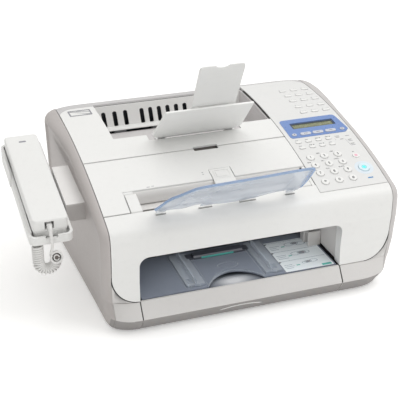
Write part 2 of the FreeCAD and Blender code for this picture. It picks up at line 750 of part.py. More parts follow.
# ---------------------------------------------------------------- control panel
# Bezel opening.
BEZEL_X0, BEZEL_X1 = 95.4, 181.2
BEZEL_Y0, BEZEL_Y1 = -29.0, 15.4
# One-touch keys: columns and rows.
TOUCH_X = (139.6, 156.6, 173.6)
TOUCH_Y = (103.2, 84.8, 67.0, 47.7, 30.8)
# Function keys: x, y.
FUNC = [(100.9, -38.9), (115.2, -38.9), (129.7, -38.9), (144.2, -38.9),
        (101.2, -51.3), (115.7, -51.3), (129.9, -51.3), (144.2, -51.3)]
# Menu keys: x, y, half width, half depth.
MENU = [(102.2, -22.2, 3.2, 2.6), (118.7, -22.2, 7.8, 2.9), (136.6, -22.2, 7.8, 2.9),
        (155.1, -22.2, 7.8, 2.9), (172.4, -22.2, 3.2, 2.6)]
# Round keys: name, x, y, radius.
KEYPAD = ["1", "2", "3", "4", "5", "6", "7", "8", "9", "star", "0", "hash"]
ROUND_KEYS = [("key_" + name, size.key_x + size.key_col * (i % 3),
               -size.key_y - size.key_row * (i // 3), size.key_rad)
              for i, name in enumerate(KEYPAD)]
ROUND_KEYS += [("key_stop", 164.0, -80.3, size.stop_rad),
               ("key_start", 164.4, -103.4, size.start_rad)]
KEY_PLAY = 0.25     # clearance around round keys and menu keys


@moulding
def control_panel(part):
    left = size.panel_x + GAP
    roof(part, left, SEAM - left, -size.crease_y + 0.4)
    for openings in ([rect(BEZEL_X0, BEZEL_Y0, BEZEL_X1, BEZEL_Y1)],
                     [rect(x - 5.4, y - 2.6, x + 5.4, y + 2.6)
                      for x in TOUCH_X for y in TOUCH_Y],
                     [rect(x - 4.4, y - 2.4, x + 4.4, y + 2.4) for x, y in FUNC]):
        part.pocket("XY", 120.0, openings, 90.0)
    holes = [panel_rod(name + "_hole", x, y, radius + KEY_PLAY, 5.0, 14.0)
             for name, x, y, radius in ROUND_KEYS]
    skin = doc.addObject("Part::Cut", "control_panel_skin")
    skin.Base, skin.Tool = part.body, fuse("key_holes", holes)
    return skin


for name, x, y, radius in ROUND_KEYS:
    keep(name, panel_rod(name + "_cap", x, y, radius, size.key_top, size.key_high))


@moulding
def panel_bezel(part):
    play = 0.15
    left, right = BEZEL_X0 + play, BEZEL_X1 - play
    part.pad("YZ", left, [arc_band(BEZEL_Y0 + play, BEZEL_Y1 - play, -0.6, 2.2)],
             right - left)
    # Display window and menu key holes.
    part.pocket("XY", 120.0, [rect(106.4, -8.8, 169.6, 5.6)], 90.0)
    part.pocket("XY", 120.0, [
        soft_rect(x - half_x - KEY_PLAY, y - half_y - KEY_PLAY,
                  x + half_x + KEY_PLAY, y + half_y + KEY_PLAY, half_y)
        for x, y, half_x, half_y in MENU], 90.0)
    # Round the four upright corners.
    part.fillet(lambda edge, bb: bb.ZLength > 2.0 and bb.XLength < 0.01
                and bb.YLength < 0.5
                and (near(bb.XMin, left) or near(bb.XMax, right)), 6.0)


@moulding
def lcd_module(part):
    """Curved window, wider backing plate, and a block that joins them."""
    part.pad("YZ", 106.6, [arc_band(-8.6, 5.4, 0.6, 2.4)], 62.8)
    part.pad("YZ", 103.0, [flat_band(-12.0, 10.0, 3.0, 7.0)], 70.0)
    part.pad("YZ", 106.6, [flat_band(-8.6, 5.4, 2.0, 4.0)], 62.8)


def key_mat(label, caps, x0, x1, y0, y1):
    """Keys on one thin carrier under the panel skin; caps as in MENU."""
    part = Moulding(label)
    part.pad("YZ", x0, [flat_band(y0, y1, 4.2, 6.4)], x1 - x0)
    for row_y in sorted(set(cap[1] for cap in caps)):
        outlines = [soft_rect(x - half_x, y - half_y, x + half_x, y + half_y, half_y - 0.3)
                    for x, y, half_x, half_y in caps if y == row_y]
        part.pad("XY", arc_z(row_y, 6.2), outlines, 7.4)
    keep(label, part.body)


key_mat("one_touch_keys", [(x, y, 5.1, 2.3) for x in TOUCH_X for y in TOUCH_Y],
        132.0, 180.5, 26.0, 108.0)
key_mat("function_keys", [(x, y, 4.1, 2.1) for x, y in FUNC], 95.0, 150.0, -56.0, -34.0)
key_mat("menu_keys", MENU, 97.5, 177.5, -26.5, -17.5)


# ---------------------------------------------------------------- paper tray and dust cover
@moulding
def paper_tray(part):
    left, right = -size.open_l + 0.3, size.open_r - 0.3
    wide = right - left
    wall = 2.4
    # Floor, side walls and rear wall.
    part.pad("XY", 7.0, [rect(left, -143.0, right, 140.0)], 2.0)
    part.pad("XY", 8.0, [rect(left, -140.0, left + wall, 140.0),
                         rect(right - wall, -140.0, right, 140.0)], 28.0)
    part.pad("XY", 8.0, [rect(left, 137.6, right, 140.0)], 28.0)
    # Hollow front with the nose.
    part.pad("YZ", left, [poly(
        (-146.0, size.foot_z + 0.3), (-size.nose_y, size.nose_z),
        (-size.front_y, size.lip_z - GAP), (-143.6, size.lip_z - GAP), (-137.0, 34.0),
        (-137.0, 7.0), (-142.0, 5.6), (-142.0, size.foot_z + 0.3))], wide)
    part.pocket("YZ", left + 3.0, [poly(
        (-141.5, 9.0), (-size.nose_y + 4.6, size.nose_z + 0.2), (-144.2, 35.6),
        (-139.4, 32.4), (-139.4, 9.0))], wide - 6.0)
    # Shallow grip under the nose.
    part.pocket("XY", 0.0, [rect(-46.0, -154.5, 2.0, -150.0)], 16.5)
    # Blocks the dust cover's pins turn in.
    block = [poly((-58.0, 34.0), (-46.0, 34.0), (-46.0, 42.0), (-48.0, 44.0),
                  (-56.0, 44.0), (-58.0, 42.0))]
    part.pad("YZ", left, block, wall)
    part.pad("YZ", right - wall, block, wall)
    part.pocket("YZ", left - 1.0, [disc(*DUST_PIN, 1.05)], wide + 2.0)


@moulding
def dust_cover(part):
    # Plate with a rounded cut-out in its front edge.
    part.pad("XY", 40.0, [poly(
        (-146.4, -142.3), (-61.0, -142.3), (-60.0, -140.5), (-48.0, -126.0),
        (-34.0, -117.5), (-23.0, -115.4), (-12.0, -117.5), (2.0, -126.0),
        (13.0, -140.5), (14.0, -142.3), (112.7, -142.3), (112.7, -58.0),
        (-146.4, -58.0))], 2.4)
    # Hinge barrels, their webs and the pins.
    part.pad("YZ", -146.4, [disc(*DUST_PIN, 2.4)], 8.0)
    part.pad("YZ", 104.7, [disc(*DUST_PIN, 2.4)], 8.0)
    part.pad("XY", 40.0, [rect(-146.4, -59.0, -138.4, -52.0),
                          rect(104.7, -59.0, 112.7, -52.0)], 2.4)
    part.pad("YZ", -148.6, [disc(*DUST_PIN, 1.0)], 263.5)


def paper_guide(side, base_x0, base_x1, wall_x0, wall_x1):
    """Flat base with an upright wall; x measured from the middle of the paper path."""
    part = Moulding("paper_guide_" + side)
    part.pad("XY", 42.7, [rect(PAGE_X + base_x0, -137.0, PAGE_X + base_x1, -62.0)], 1.6)
    part.pad("XY", 42.7, [rect(PAGE_X + wall_x0, -135.0, PAGE_X + wall_x1, -62.0)], 8.0)
    keep("paper_guide_" + side, part.body)


paper_guide("left", -63.0, -50.0, -52.4, -50.0)
paper_guide("right", 50.0, 63.0, 50.0, 52.4)


# ---------------------------------------------------------------- print engine
@moulding
def engine_frame(part):
    """Two side plates joined by an upper and a lower deck."""
    sheet_thick = 1.6
    for x in (-147.0, 100.0):
        part.pad("YZ", x, [rect(-56.0, 46.5, 130.0, 134.0)], sheet_thick)
    part.pad("XY", 134.0, [rect(-147.0, -20.0, 101.6, 18.0)], sheet_thick)
    part.pad("XY", 46.5, [rect(-147.0, 60.0, 101.6, 130.0)], sheet_thick)
    bore = size.shaft_rad + size.fit
    part.pocket("YZ", -150.0, [disc(*PICK_AXIS, bore), disc(*FUSER_AXIS, bore)], 260.0)


def gear(part, root, teeth, half_root, half_tip):
    """Spur gear with straight-sided teeth about the body's own X axis.

    half_root and half_tip are half the tooth's thickness at its root and tip.
    """
    left, width, tooth_high = -160.0, 8.0, 2.3
    part.pad("YZ", left, [disc(0.0, 0.0, root)], width)
    foot, tip = root - 0.6, root + tooth_high
    tooth = part.pad("YZ", left, [poly((foot, -half_root), (tip, -half_tip),
                                       (tip, half_tip), (foot, half_root))], width)
    part.repeat_around_x(tooth, teeth)


@moulding
def pickup_roller(part):
    gear(part, size.wheel_root, size.wheel_teeth, 0.95, 0.35)
    part.pad("YZ", -162.0, [disc(0.0, 0.0, size.shaft_rad)], 266.0)
    for x in (-47.0, -21.0):
        part.pad("YZ", x, [disc(0.0, 0.0, size.pick_rad)], 20.0)
    place(part.body, 0.0, *PICK_AXIS)


@moulding
def motor_pinion(part):
    gear(part, size.pinion_root, size.pinion_teeth, 0.85, 0.35)
    part.pad("YZ", -168.0, [disc(0.0, 0.0, 1.5)], 12.0)
    # Turned half a tooth to mesh with the feed gear.
    place(part.body, 0.0, *MOTOR_AXIS, lean=11.25)


@moulding
def main_motor(part):
    part.pad("YZ", -181.0, [disc(*MOTOR_AXIS, 17.5)], 18.0)
    part.pad("YZ", -164.0, [rect(-38.0, 48.0, 10.0, 88.0)], 1.4)
    part.pocket("YZ", -170.0, [disc(*MOTOR_AXIS, 1.55)], 10.0)
    part.pocket("YZ", -165.0, [disc(y, z, 1.6) for z in (53.0, 83.0)
                               for y in (-33.0, 5.0)], 4.0)


@moulding
def laser_unit(part):
    part.pad("XY", 104.0, [poly((-112.0, 22.0), (64.0, 22.0), (64.0, 60.0), (20.0, 92.0),
                                (-68.0, 92.0), (-112.0, 60.0))], 26.0)
    part.pad("XY", 130.0, [rect(-100.0, 28.0, 52.0, 56.0)], 3.0)
    part.pad("XZ", 19.0, [rect(-108.0, 110.0, 60.0, 118.0)], 4.0)


@moulding
def toner_cartridge(part):
    part.pad("YZ", -122.0, [poly((-14.0, 62.0), (24.0, 56.0), (60.0, 60.0), (66.0, 78.0),
                                 (52.0, 96.0), (10.0, 98.0), (-14.0, 86.0))], 196.0)
    part.pad("YZ", -126.0, [disc(50.0, 66.0, size.drum_rad)], 204.0)
    part.pad("XY", 97.0, [rect(-60.0, 16.0, 12.0, 24.0)], 4.0)


@moulding
def fuser_roller(part):
    part.pad("YZ", -150.0, [disc(*FUSER_AXIS, size.shaft_rad)], 256.0)
    part.pad("YZ", -132.0, [disc(*FUSER_AXIS, size.heat_rad)], 216.0)


@moulding
def main_board(part):
    part.pad("YZ", 116.4, [rect(-100.0, 56.0, 110.0, 132.0)], 1.6)
    part.pad("YZ", 117.6, [rect(-80.0, 70.0, -50.0, 100.0),
                           rect(-30.0, 80.0, -8.0, 110.0),
                           rect(20.0, 66.0, 70.0, 84.0)], 5.0)
    part.pocket("YZ", 112.0, [disc(y, z, 1.6) for z in (61.0, 127.0)
                              for y in (-95.0, 105.0)], 10.0)


@moulding
def power_supply(part):
    part.pad("XY", 8.0, [rect(121.0, 20.0, 180.0, 132.0)], 1.6)
    part.pad("XY", 9.0, [rect(126.0, 30.0, 158.0, 66.0),
                         rect(128.0, 76.0, 150.0, 100.0),
                         rect(160.0, 40.0, 176.0, 70.0)], 30.0)
    part.pad("XY", 9.0, [disc(166.0, 90.0, 9.0), disc(166.0, 114.0, 7.0)], 26.0)


# ---------------------------------------------------------------- sockets, feet, screws
def phone_jack(x):
    """Stepped opening of a phone socket, from its left edge x."""
    return poly((x, 26.5), (x + 10.0, 26.5), (x + 10.0, 31.5), (x + 7.5, 31.5),
                (x + 7.5, 34.0), (x + 2.5, 34.0), (x + 2.5, 31.5), (x, 31.5))


def rear_sockets():
    power = Moulding("rear_sockets")
    power.pad("XZ", 140.0, [rect(130.3, 22.3, 157.7, 41.7)], 18.6)
    power.pocket("XZ", 146.0, [rect(133.0, 25.0, 155.0, 39.0)], 20.0)
    power.pad("XZ", 145.0, [rect(136.0, 31.0, 138.0, 35.0),
                            rect(143.0, 27.5, 145.0, 31.5),
                            rect(150.0, 31.0, 152.0, 35.0)], 12.0)
    phone = Moulding("phone_sockets")
    phone.pad("XZ", 142.0, [rect(-165.7, 24.3, -132.3, 35.7)], 16.6)
    phone.pocket("XZ", 148.0, [phone_jack(-163.0), phone_jack(-145.0)], 20.0)
    keep("rear_sockets", fuse("rear_socket_set", [power.body, phone.body]))
    power.body.Label = "power_socket_body"
    phone.body.Label = "phone_socket_body"


rear_sockets()

FEET = [(-160, -120), (160, -120), (-160, 130), (160, 130), (0, 0)]
keep("rubber_feet", fuse("rubber_feet_set", [
    rod("foot_%d" % i, "Z", x, y, 0.0, 9.0, size.foot_z)
    for i, (x, y) in enumerate(FEET)]))

screws = []
for i, (x, z) in enumerate(SCREWS):
    screws.append(rod("screw_head_%d" % i, "Y", x, 158.6, z, 3.2, 1.6))
    screws.append(rod("screw_stem_%d" % i, "Y", x, 148.0, z, SCREW_RAD, 11.0))
keep("cover_screws", fuse("cover_screws_set", screws))


# ---------------------------------------------------------------- handset side
@moulding
def handset_bracket(part):
    part.pad("YZ", -216.0, [poly((-63.6, 118.9), (-63.6, 142.7), (21.3, 158.4),
                                 (21.3, 138.0), (0.0, 130.0))],
             216.0 - size.cover_x - 0.2)
    part.pocket("YZ", -213.4, [poly((-60.6, 122.4), (-60.6, 140.4), (18.3, 155.0),
                                    (18.3, 140.4), (-1.0, 133.2))], 30.0)


# Cradle, hook switch and handset share one tilted frame.
HANDSET_AT = (-243.0, -5.0, 145.6)
HOOK = (0.0, 20.0)


def place_handset(part):
    place(part.body, *HANDSET_AT, lean=size.phone_tilt)


@moulding
def handset_cradle(part):
    part.pad("XY", -14.0, [soft_rect(-26.4, -103.5, 26.4, 101.0, 8.0)], 18.0)
    part.pocket("XY", -11.6, [soft_rect(-23.8, -101.0, 23.8, 98.4, 6.0)], 30.0)
    part.pad("XY", -12.0, [rect(-24.0, -52.0, 24.0, 52.0)], 10.4)
    # Notch in the front wall and hole for the hook switch.
    part.pocket("XZ", -110.0, [rect(-8.0, -4.0, 8.0, 6.0)], 14.0)
    part.pocket("XY", -20.0, [disc(*HOOK, 2.6)], 30.0)
    place_handset(part)


@moulding
def hook_switch(part):
    part.pad("XY", -13.0, [disc(*HOOK, 2.5)], 14.5)
    place_handset(part)


@moulding
def handset(part):
    half_x, half_y = size.phone_wide / 2.0, size.phone_long / 2.0
    side = half_x - 1.2
    part.pad("XY", 0.0, [soft_rect(-half_x, -half_y, half_x, half_y, 6.0)], 18.0)
    # The two ends reach down into the cradle.
    part.pad("XY", -8.5, [soft_rect(-side, -half_y + 1.5, side, -half_y + 40.0, 6.0),
                          soft_rect(-side, half_y - 41.0, side, half_y - 1.5, 6.0)], 9.5)
    part.pocket("XY", -1.0, [disc(*HOOK, 3.4)], 7.6)
    # Cord socket in the front end, with the plug in it.
    part.pocket("XZ", -half_y - 2.0, [rect(-6.5, 5.5, 3.5, 14.5)], 12.0)
    part.pad("XZ", -half_y - 1.0, [rect(-5.2, 6.4, 2.2, 12.6)], 13.0)
    part.fillet(lambda edge, bb: near(bb.ZMin, 18.0) and near(bb.ZMax, 18.0)
                and (bb.YLength > 100 or bb.XLength > 4.0), 2.5)
    place_handset(part)


def strut(name, start, end, radius):
    """Round rod between two points, with a ball at its end to join the next."""
    run = V(*end) - V(*start)
    cylinder = doc.addObject("Part::Cylinder", name)
    set_bound(cylinder, "Radius", radius)
    cylinder.Height = run.Length
    cylinder.Placement = FreeCAD.Placement(V(*start), FreeCAD.Rotation(V(0, 0, 1), run))
    ball = doc.addObject("Part::Sphere", name + "_ball")
    set_bound(ball, "Radius", radius)
    ball.Placement = FreeCAD.Placement(V(*end), FreeCAD.Rotation())
    return [cylinder, ball]


def handset_cord():
    """The coiled run as one thick cord: down, round a half turn and up again."""
    x, y, z = -249.7, -98.0, 90.0
    legs = [rod("cord_left_leg", "Z", -size.cord_bend + x, y, z, size.cord_rad, 20.0),
            rod("cord_right_leg", "Z", size.cord_bend + x, y, z, size.cord_rad, 4.0)]
    bend = doc.addObject("Part::Torus", "cord_bend_turn")
    set_bound(bend, "Radius1", size.cord_bend)
    set_bound(bend, "Radius2", size.cord_rad)
    bend.Angle3 = 180
    bend.Placement = FreeCAD.Placement(V(x, y, z), FreeCAD.Rotation(V(1, 0, 0), -90))
    # Thin lead from the handset's plug down to the right leg.
    plug, elbow, coil = (-244.6, -109.8, 134.5), (-243.2, -108.8, 112.0), (-239.6, -98.5, 91.0)
    lead = strut("cord_lead_top", plug, elbow, 2.0) + strut("cord_lead_end", elbow, coil, 2.0)
    keep("handset_cord", fuse("handset_cord_set", legs + [bend] + lead))


handset_cord()

# ---------------------------------------------------------------- check and write
doc.recompute()
for obj in doc.Objects:
    bad = [state for state in obj.State if state in ("Invalid", "Error")]
    if bad:
        raise RuntimeError("%s: %s" % (obj.Label, bad))
os.makedirs("parts", exist_ok=True)
for label, obj in PIECES.items():
    shape = obj.Shape
    if shape.isNull() or not shape.isValid() or not shape.Solids:
        raise RuntimeError("%s has no valid shape" % label)
    shape.exportStep("parts/%s.step" % label)
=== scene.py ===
# A desktop fax printer with a corded handset on its left side.
# It stands on the table at Z 0: X runs to its right, Y to its rear, Z up. The front faces -Y.
# Sizes are in millimetres unless a line says otherwise; meshes are stored in metres.
# The roof is one large arc in the YZ plane, and most top pieces are laid on that arc.
import random
from math import acos, asin, copysign, cos, pi, radians, sin, sqrt, tan

import bmesh
import bpy
from mathutils import Matrix, Vector


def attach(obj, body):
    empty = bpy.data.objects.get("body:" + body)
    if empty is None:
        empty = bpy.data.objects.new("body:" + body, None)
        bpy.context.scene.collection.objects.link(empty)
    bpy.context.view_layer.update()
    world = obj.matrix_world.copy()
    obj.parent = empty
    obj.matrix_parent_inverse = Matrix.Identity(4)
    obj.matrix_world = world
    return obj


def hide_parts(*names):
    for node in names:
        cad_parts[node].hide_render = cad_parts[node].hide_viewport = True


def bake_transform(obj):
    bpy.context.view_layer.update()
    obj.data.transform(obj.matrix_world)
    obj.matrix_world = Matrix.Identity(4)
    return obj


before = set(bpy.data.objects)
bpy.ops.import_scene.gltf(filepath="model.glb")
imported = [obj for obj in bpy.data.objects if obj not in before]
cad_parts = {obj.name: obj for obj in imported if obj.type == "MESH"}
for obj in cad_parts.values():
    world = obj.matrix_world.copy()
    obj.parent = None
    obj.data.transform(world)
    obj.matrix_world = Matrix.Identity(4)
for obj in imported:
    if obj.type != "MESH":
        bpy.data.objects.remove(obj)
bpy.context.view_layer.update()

MM = 0.001
HALF_PI = pi / 2
ARC_Y, ARC_Z, ARC_R = 125.584, -566.485, 755.397    # centre and radius of the roof arc
SKIN = 2.6          # wall of the outer covers
SKIN_X = 183.35     # half width of the outer covers
SPLIT_X = 88.1      # right edge of the top and feeder covers, beside the control panel


def top_z(y, depth=0.0):
    """Height of the roof arc, or of a skin this far below it."""
    return ARC_Z + sqrt((ARC_R - depth) ** 2 - (y - ARC_Y) ** 2)


# ------------------------------------------------------------------ material nodes
def new_material(name):
    m = bpy.data.materials.new(name)
    m.use_nodes = True
    nt = m.node_tree
    nt.nodes.clear()
    out = nt.nodes.new("ShaderNodeOutputMaterial")
    bsdf = nt.nodes.new("ShaderNodeBsdfPrincipled")
    nt.links.new(bsdf.outputs[0], out.inputs[0])
    return m, nt, bsdf


def bsdf_of(m):
    return [n for n in m.node_tree.nodes if n.type == "BSDF_PRINCIPLED"][0]


def put(nt, kind, **settings):
    """New node; each setting is an input if the node has one of that name, else a property."""
    n = nt.nodes.new(kind)
    for key, value in settings.items():
        if key in n.inputs:
            n.inputs[key].default_value = value
        else:
            setattr(n, key, value)
    return n


def coords(nt):
    return nt.nodes.new("ShaderNodeTexCoord").outputs["Object"]


def noise(nt, vec, scale, detail=3.0, rough=0.55):
    n = put(nt, "ShaderNodeTexNoise", Scale=scale, Detail=detail, Roughness=rough)
    nt.links.new(vec, n.inputs["Vector"])
    return n.outputs["Fac"]


def mapping(nt, scale, location=(0.0, 0.0, 0.0)):
    """Object coordinates, scaled and moved."""
    vec = coords(nt)
    n = put(nt, "ShaderNodeMapping")
    n.inputs["Location"].default_value = location
    n.inputs["Scale"].default_value = scale
    nt.links.new(vec, n.inputs[0])
    return n.outputs[0]


def ramp(nt, fac, stops):
    """Colour ramp from (position, colour) stops."""
    r = nt.nodes.new("ShaderNodeValToRGB")
    while len(r.color_ramp.elements) < len(stops):
        r.color_ramp.elements.new(0.5)
    for e, (position, colour) in zip(r.color_ramp.elements, stops):
        e.position = position
        e.color = tuple(colour) + (1.0,)
    nt.links.new(fac, r.inputs[0])
    return r.outputs[0]


def multiply(nt, first, second, socket):
    mix = put(nt, "ShaderNodeMix", data_type="RGBA", blend_type="MULTIPLY")
    mix.inputs[0].default_value = 1.0
    nt.links.new(first, mix.inputs[6])
    nt.links.new(second, mix.inputs[7])
    nt.links.new(mix.outputs[2], socket)


def link_range(nt, fac, socket, low, high):
    """Drive a socket between low and high."""
    n = put(nt, "ShaderNodeMapRange")
    n.inputs[3].default_value = low
    n.inputs[4].default_value = high
    nt.links.new(fac, n.inputs[0])
    nt.links.new(n.outputs[0], socket)


def link_bump(nt, bsdf, height, strength, distance):
    n = put(nt, "ShaderNodeBump", Strength=strength, Distance=distance)
    nt.links.new(height, n.inputs["Height"])
    nt.links.new(n.outputs[0], bsdf.inputs["Normal"])


def shade(colour, k):
    return tuple(max(0.0, min(1.0, v * k)) for v in colour)


def plastic(name, col, rough=0.42, grain=2600.0, grain_depth=0.00004, vary=0.03, spec=0.5,
            coat=0.0):
    """Moulded plastic: fine grain, faint tone drift, uneven gloss, soft dust in broad patches."""
    m, nt, b = new_material(name)
    v = coords(nt)
    big = noise(nt, v, scale=9.0, detail=4.0)
    fine = noise(nt, v, scale=grain, detail=2.0, rough=0.6)
    mid = noise(nt, v, scale=140.0)
    base = ramp(nt, big, [(0.3, shade(col, 1.0 - vary)), (0.7, shade(col, 1.0 + vary * 0.6))])
    dust = ramp(nt, mid, [(0.55, (1, 1, 1)), (0.95, (0.952, 0.952, 0.952))])
    multiply(nt, base, dust, b.inputs["Base Color"])
    link_range(nt, mid, b.inputs["Roughness"], low=rough - 0.06, high=rough + 0.08)
    b.inputs["Specular IOR Level"].default_value = spec
    b.inputs["Coat Weight"].default_value = coat
    link_bump(nt, b, fine, strength=0.35, distance=grain_depth)
    return m


def metal(name, col, rough):
    """Metal with a grain drawn out along X."""
    m, nt, b = new_material(name)
    grain = noise(nt, mapping(nt, scale=(1.0, 30.0, 30.0)), scale=120.0, detail=4.0)
    base = ramp(nt, grain, [(0.3, shade(col, 0.88)), (0.7, shade(col, 1.06))])
    nt.links.new(base, b.inputs["Base Color"])
    b.inputs["Metallic"].default_value = 1.0
    link_range(nt, grain, b.inputs["Roughness"], low=rough - 0.1, high=rough + 0.12)
    link_bump(nt, b, grain, strength=0.25, distance=0.00005)
    return m


def clear(name, col, edge, rough, amount, alpha, edge_blend=0.55):
    """Tinted clear plastic: see-through face on, the edge colour where it is seen edge on; where
    the edge colour is lighter, it is a painted sheen.
    """
    m, nt, b = new_material(name)
    v = coords(nt)
    facing = put(nt, "ShaderNodeLayerWeight", Blend=edge_blend).outputs["Facing"]
    n = noise(nt, v, scale=60.0)
    tone = ramp(nt, facing, [(0.15, col), (0.85, edge)])
    haze = ramp(nt, n, [(0.3, (0.96, 0.96, 0.96)), (0.7, (1, 1, 1))])
    multiply(nt, tone, haze, b.inputs["Base Color"])
    b.inputs["Transmission Weight"].default_value = amount
    b.inputs["IOR"].default_value = 1.25
    link_range(nt, n, b.inputs["Roughness"], low=rough * 0.6, high=rough * 1.5)
    link_range(nt, facing, b.inputs["Alpha"], low=alpha, high=min(1.0, alpha + 0.35))
    link_bump(nt, b, noise(nt, v, scale=900.0, detail=2.0), strength=0.15, distance=0.00003)
    return m


def glow(name, col, strength):
    """Plastic that gives off a little of its own colour."""
    m = plastic(name, col, rough=0.3, vary=0.05)
    b = bsdf_of(m)
    b.inputs["Emission Color"].default_value = tuple(col) + (1.0,)
    b.inputs["Emission Strength"].default_value = strength
    return m


def painted_highlight_plastic(name, cx, cy, r):
    """Polished grey that is pale in an oval about (cx, cy) and dark outside it: a painted
    highlight with painted shade round it.
    """
    m = plastic(name, (0.5, 0.5, 0.5), rough=0.24, vary=0.04, coat=0.35, grain_depth=0.00001)
    nt = m.node_tree
    rx, ry = r * MM, r * 0.55 * MM
    vec = mapping(nt, scale=(1.0 / rx, 1.0 / ry, 0.0),
                  location=(-cx * MM / rx, -cy * MM / ry, 0.0))
    gradient = put(nt, "ShaderNodeTexGradient", gradient_type="SPHERICAL")
    nt.links.new(vec, gradient.inputs[0])
    tone = ramp(nt, gradient.outputs[1], [
        (0.0, (0.16, 0.175, 0.20)), (0.35, (0.36, 0.38, 0.42)), (0.8, (0.84, 0.85, 0.87))])
    nt.links.new(tone, bsdf_of(m).inputs["Base Color"])
    return m


# ------------------------------------------------------------------ materials
# shells
WHITE = plastic("shell_white", (0.80, 0.80, 0.79), rough=0.40, vary=0.012)
SIDE = plastic("shell_grey_side", (0.47, 0.440, 0.430), rough=0.46, vary=0.02)
# lighter copy of the side grey for the right cover: painted light
SIDE_LIT = plastic("shell_grey_side_lit", (0.545, 0.525, 0.52), rough=0.46, vary=0.02)
RIM = plastic("shell_grey_rim", (0.55, 0.54, 0.545), rough=0.44, vary=0.02)
TRAY_GREY = plastic("tray_grey", (0.66, 0.645, 0.635), rough=0.45, vary=0.025)
# darker grey for faces under the front ridge: painted shade
UNDER_PAINTED_SHADE = plastic("shell_grey_painted_under_shade", (0.30, 0.285, 0.28), rough=0.48)
CHUTE = plastic("chute_grey", (0.62, 0.60, 0.60), rough=0.5)
# dark grey for the finger recess floor: painted shade of the recess
FINGER_RECESS_SHADE = plastic("recess_grey_painted_shade", (0.20, 0.185, 0.175), rough=0.5)
INNER_LIGHT = plastic("inner_light", (0.80, 0.785, 0.77), vary=0.02)
INNER_WALL = plastic("inner_wall", (0.60, 0.585, 0.57), rough=0.45, vary=0.02)
# lighter white for the flap: painted light
FLAP_WHITE_LIT = plastic("flap_white_painted_light", (0.89, 0.89, 0.88), rough=0.38, vary=0.012)
PANEL_WHITE = plastic("shell_white_panel", (0.735, 0.735, 0.73), rough=0.40, vary=0.012)
BRACKET = plastic("bracket_grey", (0.80, 0.785, 0.775), vary=0.02)
# darker grey for the bracket's front faces: painted shade
BRACKET_FRONT_SHADE = plastic("bracket_grey_painted_front_shade", (0.50, 0.48, 0.47), rough=0.45, vary=0.02)
# near black for the bed's front strip: painted shade
BED_FRONT_SHADE = plastic("bed_painted_front_shade", (0.13, 0.12, 0.115), rough=0.45, vary=0.04)
LEDGE = plastic("ledge_dark", (0.085, 0.09, 0.11), rough=0.3, vary=0.06, coat=0.2)
# painted highlight and shade on the scoop under the finger opening
SCOOP_PAINTED_HIGHLIGHT = painted_highlight_plastic("scoop_grey_painted_highlight", cx=-23.0, cy=-131.0, r=36.0)
DARK = plastic("dark_blue_grey", (0.075, 0.09, 0.125), rough=0.35, vary=0.06)
# near black, used as painted shade behind gaps, slots and openings
DARKER = plastic("dark_well", (0.03, 0.034, 0.045), rough=0.5, vary=0.05)
# near black for black mouldings, and for liners that are painted shade in seams and slots
BLACK = plastic("black_moulding_and_painted_gap_shade", (0.015, 0.015, 0.017), rough=0.45, vary=0.08)
# clear plastics; both smoke greys turn lighter edge on, a painted sheen
SMOKE = clear("smoke_clear", (0.26, 0.29, 0.36), (0.36, 0.40, 0.47), rough=0.16, amount=0.12,
              alpha=0.9)
SMOKE_LIGHT = clear("smoke_clear_light", (0.50, 0.56, 0.64), (0.82, 0.87, 0.93), rough=0.1,
                    amount=0.3, alpha=0.5)
TRAY_CLEAR = clear("document_tray_clear", (0.70, 0.73, 0.775), (0.60, 0.66, 0.76), rough=0.2,
                   amount=0.3, alpha=0.30, edge_blend=0.5)
TRAY_RIM = clear("document_tray_rim", (0.46, 0.60, 0.82), (0.36, 0.52, 0.80), rough=0.2,
                 amount=0.3, alpha=0.55, edge_blend=0.5)
# panel, display, keys and print
BLUE = plastic("bezel_blue", (0.16, 0.27, 0.58), rough=0.28, vary=0.08, coat=0.3,
               grain_depth=0.00001)
LCD = plastic("lcd_olive", (0.25, 0.265, 0.15), rough=0.22, vary=0.06, coat=0.5,
              grain_depth=0.000005)
LCD_FRAME = plastic("lcd_frame", (0.05, 0.07, 0.11), rough=0.3, vary=0.06)
LCD_INK = plastic("lcd_ink", (0.10, 0.105, 0.06), rough=0.3, vary=0.1)
KEY_WHITE = plastic("key_white", (0.82, 0.82, 0.81), rough=0.34, vary=0.015)
KEY_SILVER = plastic("key_silver", (0.60, 0.62, 0.68), rough=0.28, coat=0.2)
PINK = glow("key_pink", (0.80, 0.45, 0.54), strength=0.04)
CYAN = glow("key_cyan", (0.10, 0.80, 0.80), strength=0.45)
CYAN_MID = glow("key_cyan_mid", (0.28, 0.66, 0.68), strength=0.12)
HALO_KEY = glow("key_halo_pale", (0.66, 0.80, 0.86), strength=0.05)
HALO_RING = plastic("halo_pale", (0.70, 0.77, 0.83), rough=0.35, vary=0.02)
LED_BLUE = glow("led_blue", (0.05, 0.20, 0.42), strength=0.25)
INK = plastic("print_ink", (0.09, 0.09, 0.10), rough=0.6, vary=0.1)
INK_LIGHT = plastic("print_ink_light", (0.30, 0.30, 0.33), rough=0.6, vary=0.1)
TEAL = plastic("teal_accent", (0.10, 0.48, 0.42), rough=0.35, vary=0.06)
LABEL = plastic("label_paper", (0.86, 0.92, 0.95), rough=0.55)
LABEL_PRINT = plastic("label_print", (0.25, 0.32, 0.38), rough=0.6, vary=0.1)
